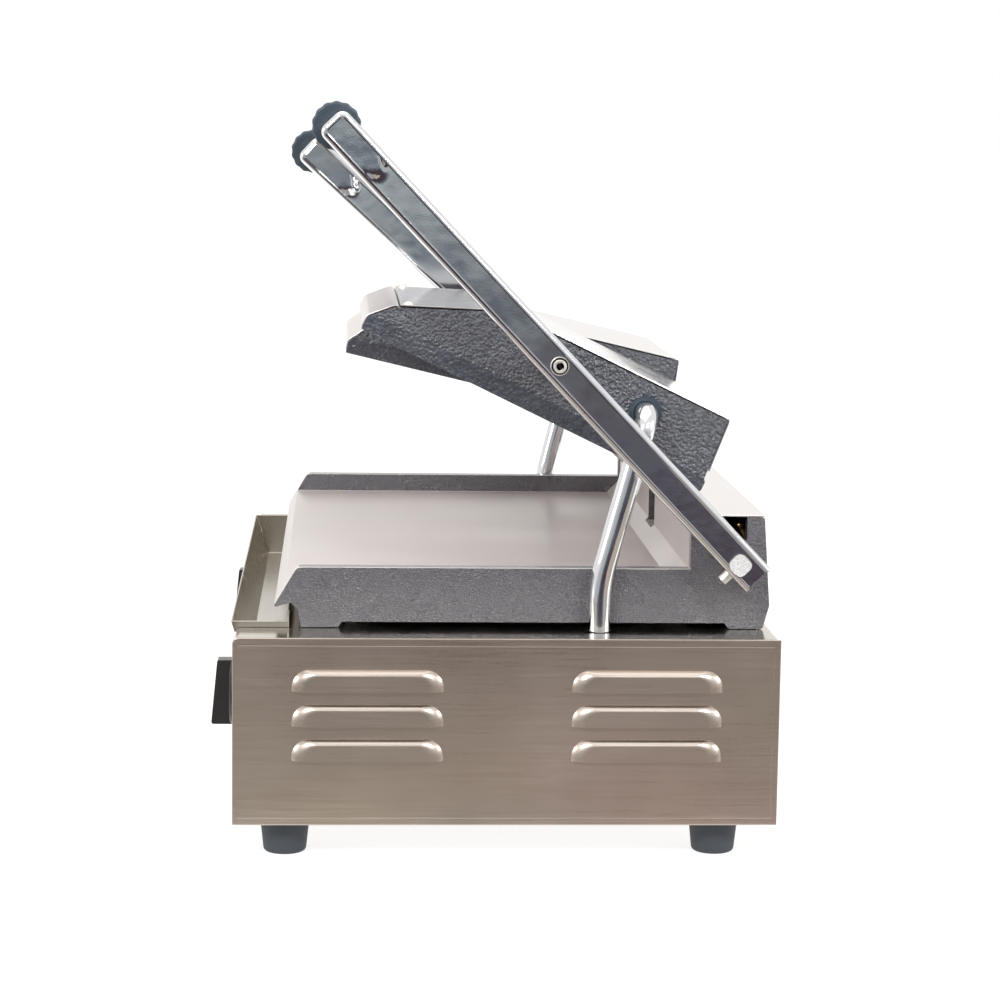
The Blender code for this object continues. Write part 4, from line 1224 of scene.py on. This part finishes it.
class GRILL_OT_hardware(Operator):
    """Add the shafts, bolts, screws and springs"""

    bl_idname = "grill.hardware"
    bl_label = "Shafts, bolts and springs"

    def execute(self, context):
        for side, sign in SIDES.items():
            rounding = (0.0006, 3, 50)
            refine(f"{side}_shaft", f"{side}_cross_shaft", rounding, 40, f"{side}_handle", "sawn", "rod_steel")
            for kind in ("outer", "inner"):
                self.bolt(side, kind, sign if kind == "outer" else -sign)
                screw = copy_of(f"{side}_{kind}_set_screw", f"{side}_{kind}_grub_screw")
                soften(screw, 0.0003, 2, 50)
                low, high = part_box(f"{side}_{kind}_set_screw")
                axis = Matrix.Translation(((low.x + high.x) / 2, 0, 0)) @ arm_frame(side)
                for step in (axis.inverted(), Matrix.Diagonal((1.18, 1.18, 0.86, 1)), axis):
                    place(screw, step)
                settle(shade(screw, 40), f"{side}_handle", FINISHES["bolt"], "rod_steel", f"{side}_{kind}_set_screw")
            dress(f"{side}_spacer", FINISHES["steel"])
            spring = copy_of(f"{side}_spring", f"{side}_torsion_spring")
            modify(spring, "SUBSURF", levels=1, render_levels=1)
            settle(shade(spring, 60), "base", FINISHES["zinc"], "zinc_spring", f"{side}_spring")
        return {"FINISHED"}

    def bolt(self, side, kind, outwards):
        """A socket-head bolt on a dished washer, with painted shade in the washer's groove and the socket."""
        node = f"{side}_{kind}_bolt"
        low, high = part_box(node)
        tip, crown = (low.x, high.x) if outwards > 0 else (high.x, low.x)
        reach = abs(crown - tip)
        shank = rod(f"{side}_{kind}_socket_bolt", 0.004, reach - 0.002, -reach / 2 - 0.001)
        head = rod("bolt_head", 0.0043, 0.0034, -0.0017)
        bpy.ops.object.transform_apply(location=True, rotation=True, scale=True)
        edit(head)
        pick(head, "FACE", lambda f: f.normal.z > 0.9)
        bpy.ops.mesh.inset(thickness=0.0018)
        done()
        socket = rod("socket", 0.0024, 0.006, 0.0008, 6)
        carve(head, socket)
        soften(head, 0.0004, 3, 50)
        washer = rod("washer", 0.0061, 0.0020, -0.0037)
        bpy.ops.object.transform_apply(location=True, rotation=True, scale=True)
        edit(washer)
        pick(washer, "FACE", lambda f: f.normal.z > 0.9)
        bpy.ops.mesh.inset(thickness=0.0006)
        bpy.ops.mesh.inset(thickness=0.0001, depth=-0.0012)
        done()
        soften(washer, 0.0002, 2, 50)
        bolt = join([place(shank, Matrix()), head, washer], f"{side}_{kind}_socket_bolt")
        # The washer's groove and the socket take the black gloss plastic: painted shade in these recesses
        shadowed = []
        for face in bolt.data.polygons:
            out, level = Vector(face.center).xy.length, face.center.z
            in_groove = out < 0.0056 and -0.0042 < level < -0.0029
            in_socket = out < 0.0026 and -0.0026 < level < -0.0006
            shadowed.append(in_groove or in_socket)
        pivot = JOINTS[f"{side}_head_pivot"]["pos_m"]
        turn = Matrix.Rotation(outwards * math.pi / 2, 4, "Y")
        place(bolt, Matrix.Translation((crown, pivot[1], pivot[2])) @ turn)
        settle(shade(bolt, 40), f"{side}_head", [FINISHES["bolt"], FINISHES["gloss"]], "rod_steel", node)
        for face, dark in zip(bolt.data.polygons, shadowed):
            face.material_index = int(dark)


class GRILL_OT_controls(Operator):
    """Add the knobs, the lamps and the switches"""

    bl_idname = "grill.controls"
    bl_label = "Controls"

    def execute(self, context):
        for side in SIDES:
            knob, name = f"{side}_knob", f"{side}_thermostat_knob"
            refine(knob, name, (0.0009, 3, 35), 40, knob, "gloss", "grip_plastic")
            self.scale_ring(side)
            pieces = (
                ("lamp", "lamp_lens", (0.0004, 2, 50), 50, "base", "lamp", "lamp_lens"),
                ("switch_body", "switch_frame", (0.0006, 3, 50), 40, "base", "gloss", "switch_plastic"),
                ("rocker", "rocker_cap", (0.0007, 3, 15), 40, f"{side}_rocker", "rocker", "rocker_red"),
            )
            for node, name, rounding, smooth, body, finish, slot in pieces:
                refine(f"{side}_{node}", f"{side}_{name}", rounding, smooth, body, finish, slot)
        return {"FINISHED"}

    def scale_ring(self, side):
        """Engraved ticks round a knob, longer at each end of its travel."""
        pivot = Vector(JOINTS[f"{side}_knob_turn"]["pos_m"])
        start, ticks = 0.0262, []
        for i in range(11):
            turn = math.radians(-135 + 27 * i)
            long = 0.0055 if i in (0, 10) else 0.0035
            tick = block("tick", (-0.0004, -0.00012, start), (0.0004, 0.00005, start + long))
            ticks.append(place(tick, Matrix.Translation((pivot.x, FRONT_Y, pivot.z)) @ Matrix.Rotation(turn, 4, "Y")))
        ring = join(ticks, f"{side}_knob_scale")
        settle(ring, "base", FINISHES["gloss"], "switch_plastic")


class GRILL_OT_screws(Operator):
    """Add the screws that hold the rear panel"""

    bl_idname = "grill.screws"
    bl_label = "Casing screws"

    def execute(self, context):
        made = []
        rear = Matrix.Rotation(-math.pi / 2, 4, "X")
        for x in (-0.262, 0, 0.262):
            for height in (-0.012, -0.112):
                spot = rest_point(0, height, x)
                screw = domed_screw("rear_screw", 0.0035, 0.0018)
                made.append(place(screw, Matrix.Translation((spot.x, REAR_Y, spot.z)) @ rear))
        settle(shade(join(made, "rear_panel_screws")), "base", FINISHES["bolt"], "rod_steel")
        return {"FINISHED"}


class GRILL_OT_insides(Operator):
    """Finish the pieces inside the casing and the heads"""

    bl_idname = "grill.insides"
    bl_label = "Insides"

    def execute(self, context):
        dress("terminal_block", FINISHES["ceramic"])
        dress("cable_gland", FINISHES["plastic"])
        for side in SIDES:
            dress(f"{side}_thermostat", FINISHES["ceramic"])
            dress(f"{side}_lower_element", FINISHES["heater"])
            dress(f"{side}_head_element", FINISHES["heater"])
        return {"FINISHED"}


class GRILL_PT_sidebar(Panel):
    """Lists the settings and the steps that build the grill"""

    bl_idname = "GRILL_PT_sidebar"
    bl_label = "Twin Contact Grill"
    bl_space_type = "VIEW_3D"
    bl_region_type = "UI"
    bl_category = "Grill"

    def draw(self, context):
        for name, group in SETTINGS.items():
            box = self.layout.box()
            for field in group.__annotations__:
                box.prop(getattr(context.scene, name), field)
        for operator in OPERATORS:
            self.layout.operator(operator.bl_idname)


OPERATORS = (
    GRILL_OT_stage,
    GRILL_OT_casing,
    GRILL_OT_side_panels,
    GRILL_OT_drip_tray,
    GRILL_OT_lower_casting,
    GRILL_OT_heads,
    GRILL_OT_arms,
    GRILL_OT_grips,
    GRILL_OT_conduits,
    GRILL_OT_hardware,
    GRILL_OT_controls,
    GRILL_OT_screws,
    GRILL_OT_insides,
)
CLASSES = (*SETTINGS.values(), *OPERATORS, GRILL_PT_sidebar)


def register():
    for each in CLASSES:
        bpy.utils.register_class(each)
    for name, group in SETTINGS.items():
        setattr(bpy.types.Scene, name, PointerProperty(type=group))


def unregister():
    for name in SETTINGS:
        delattr(bpy.types.Scene, name)
    for each in reversed(CLASSES):
        bpy.utils.unregister_class(each)


def main():
    register()
    make_finishes(bpy.context.scene)
    for operator in OPERATORS:
        group, name = operator.bl_idname.split(".")
        getattr(getattr(bpy.ops, group), name)()


if __name__ == "__main__":
    main()
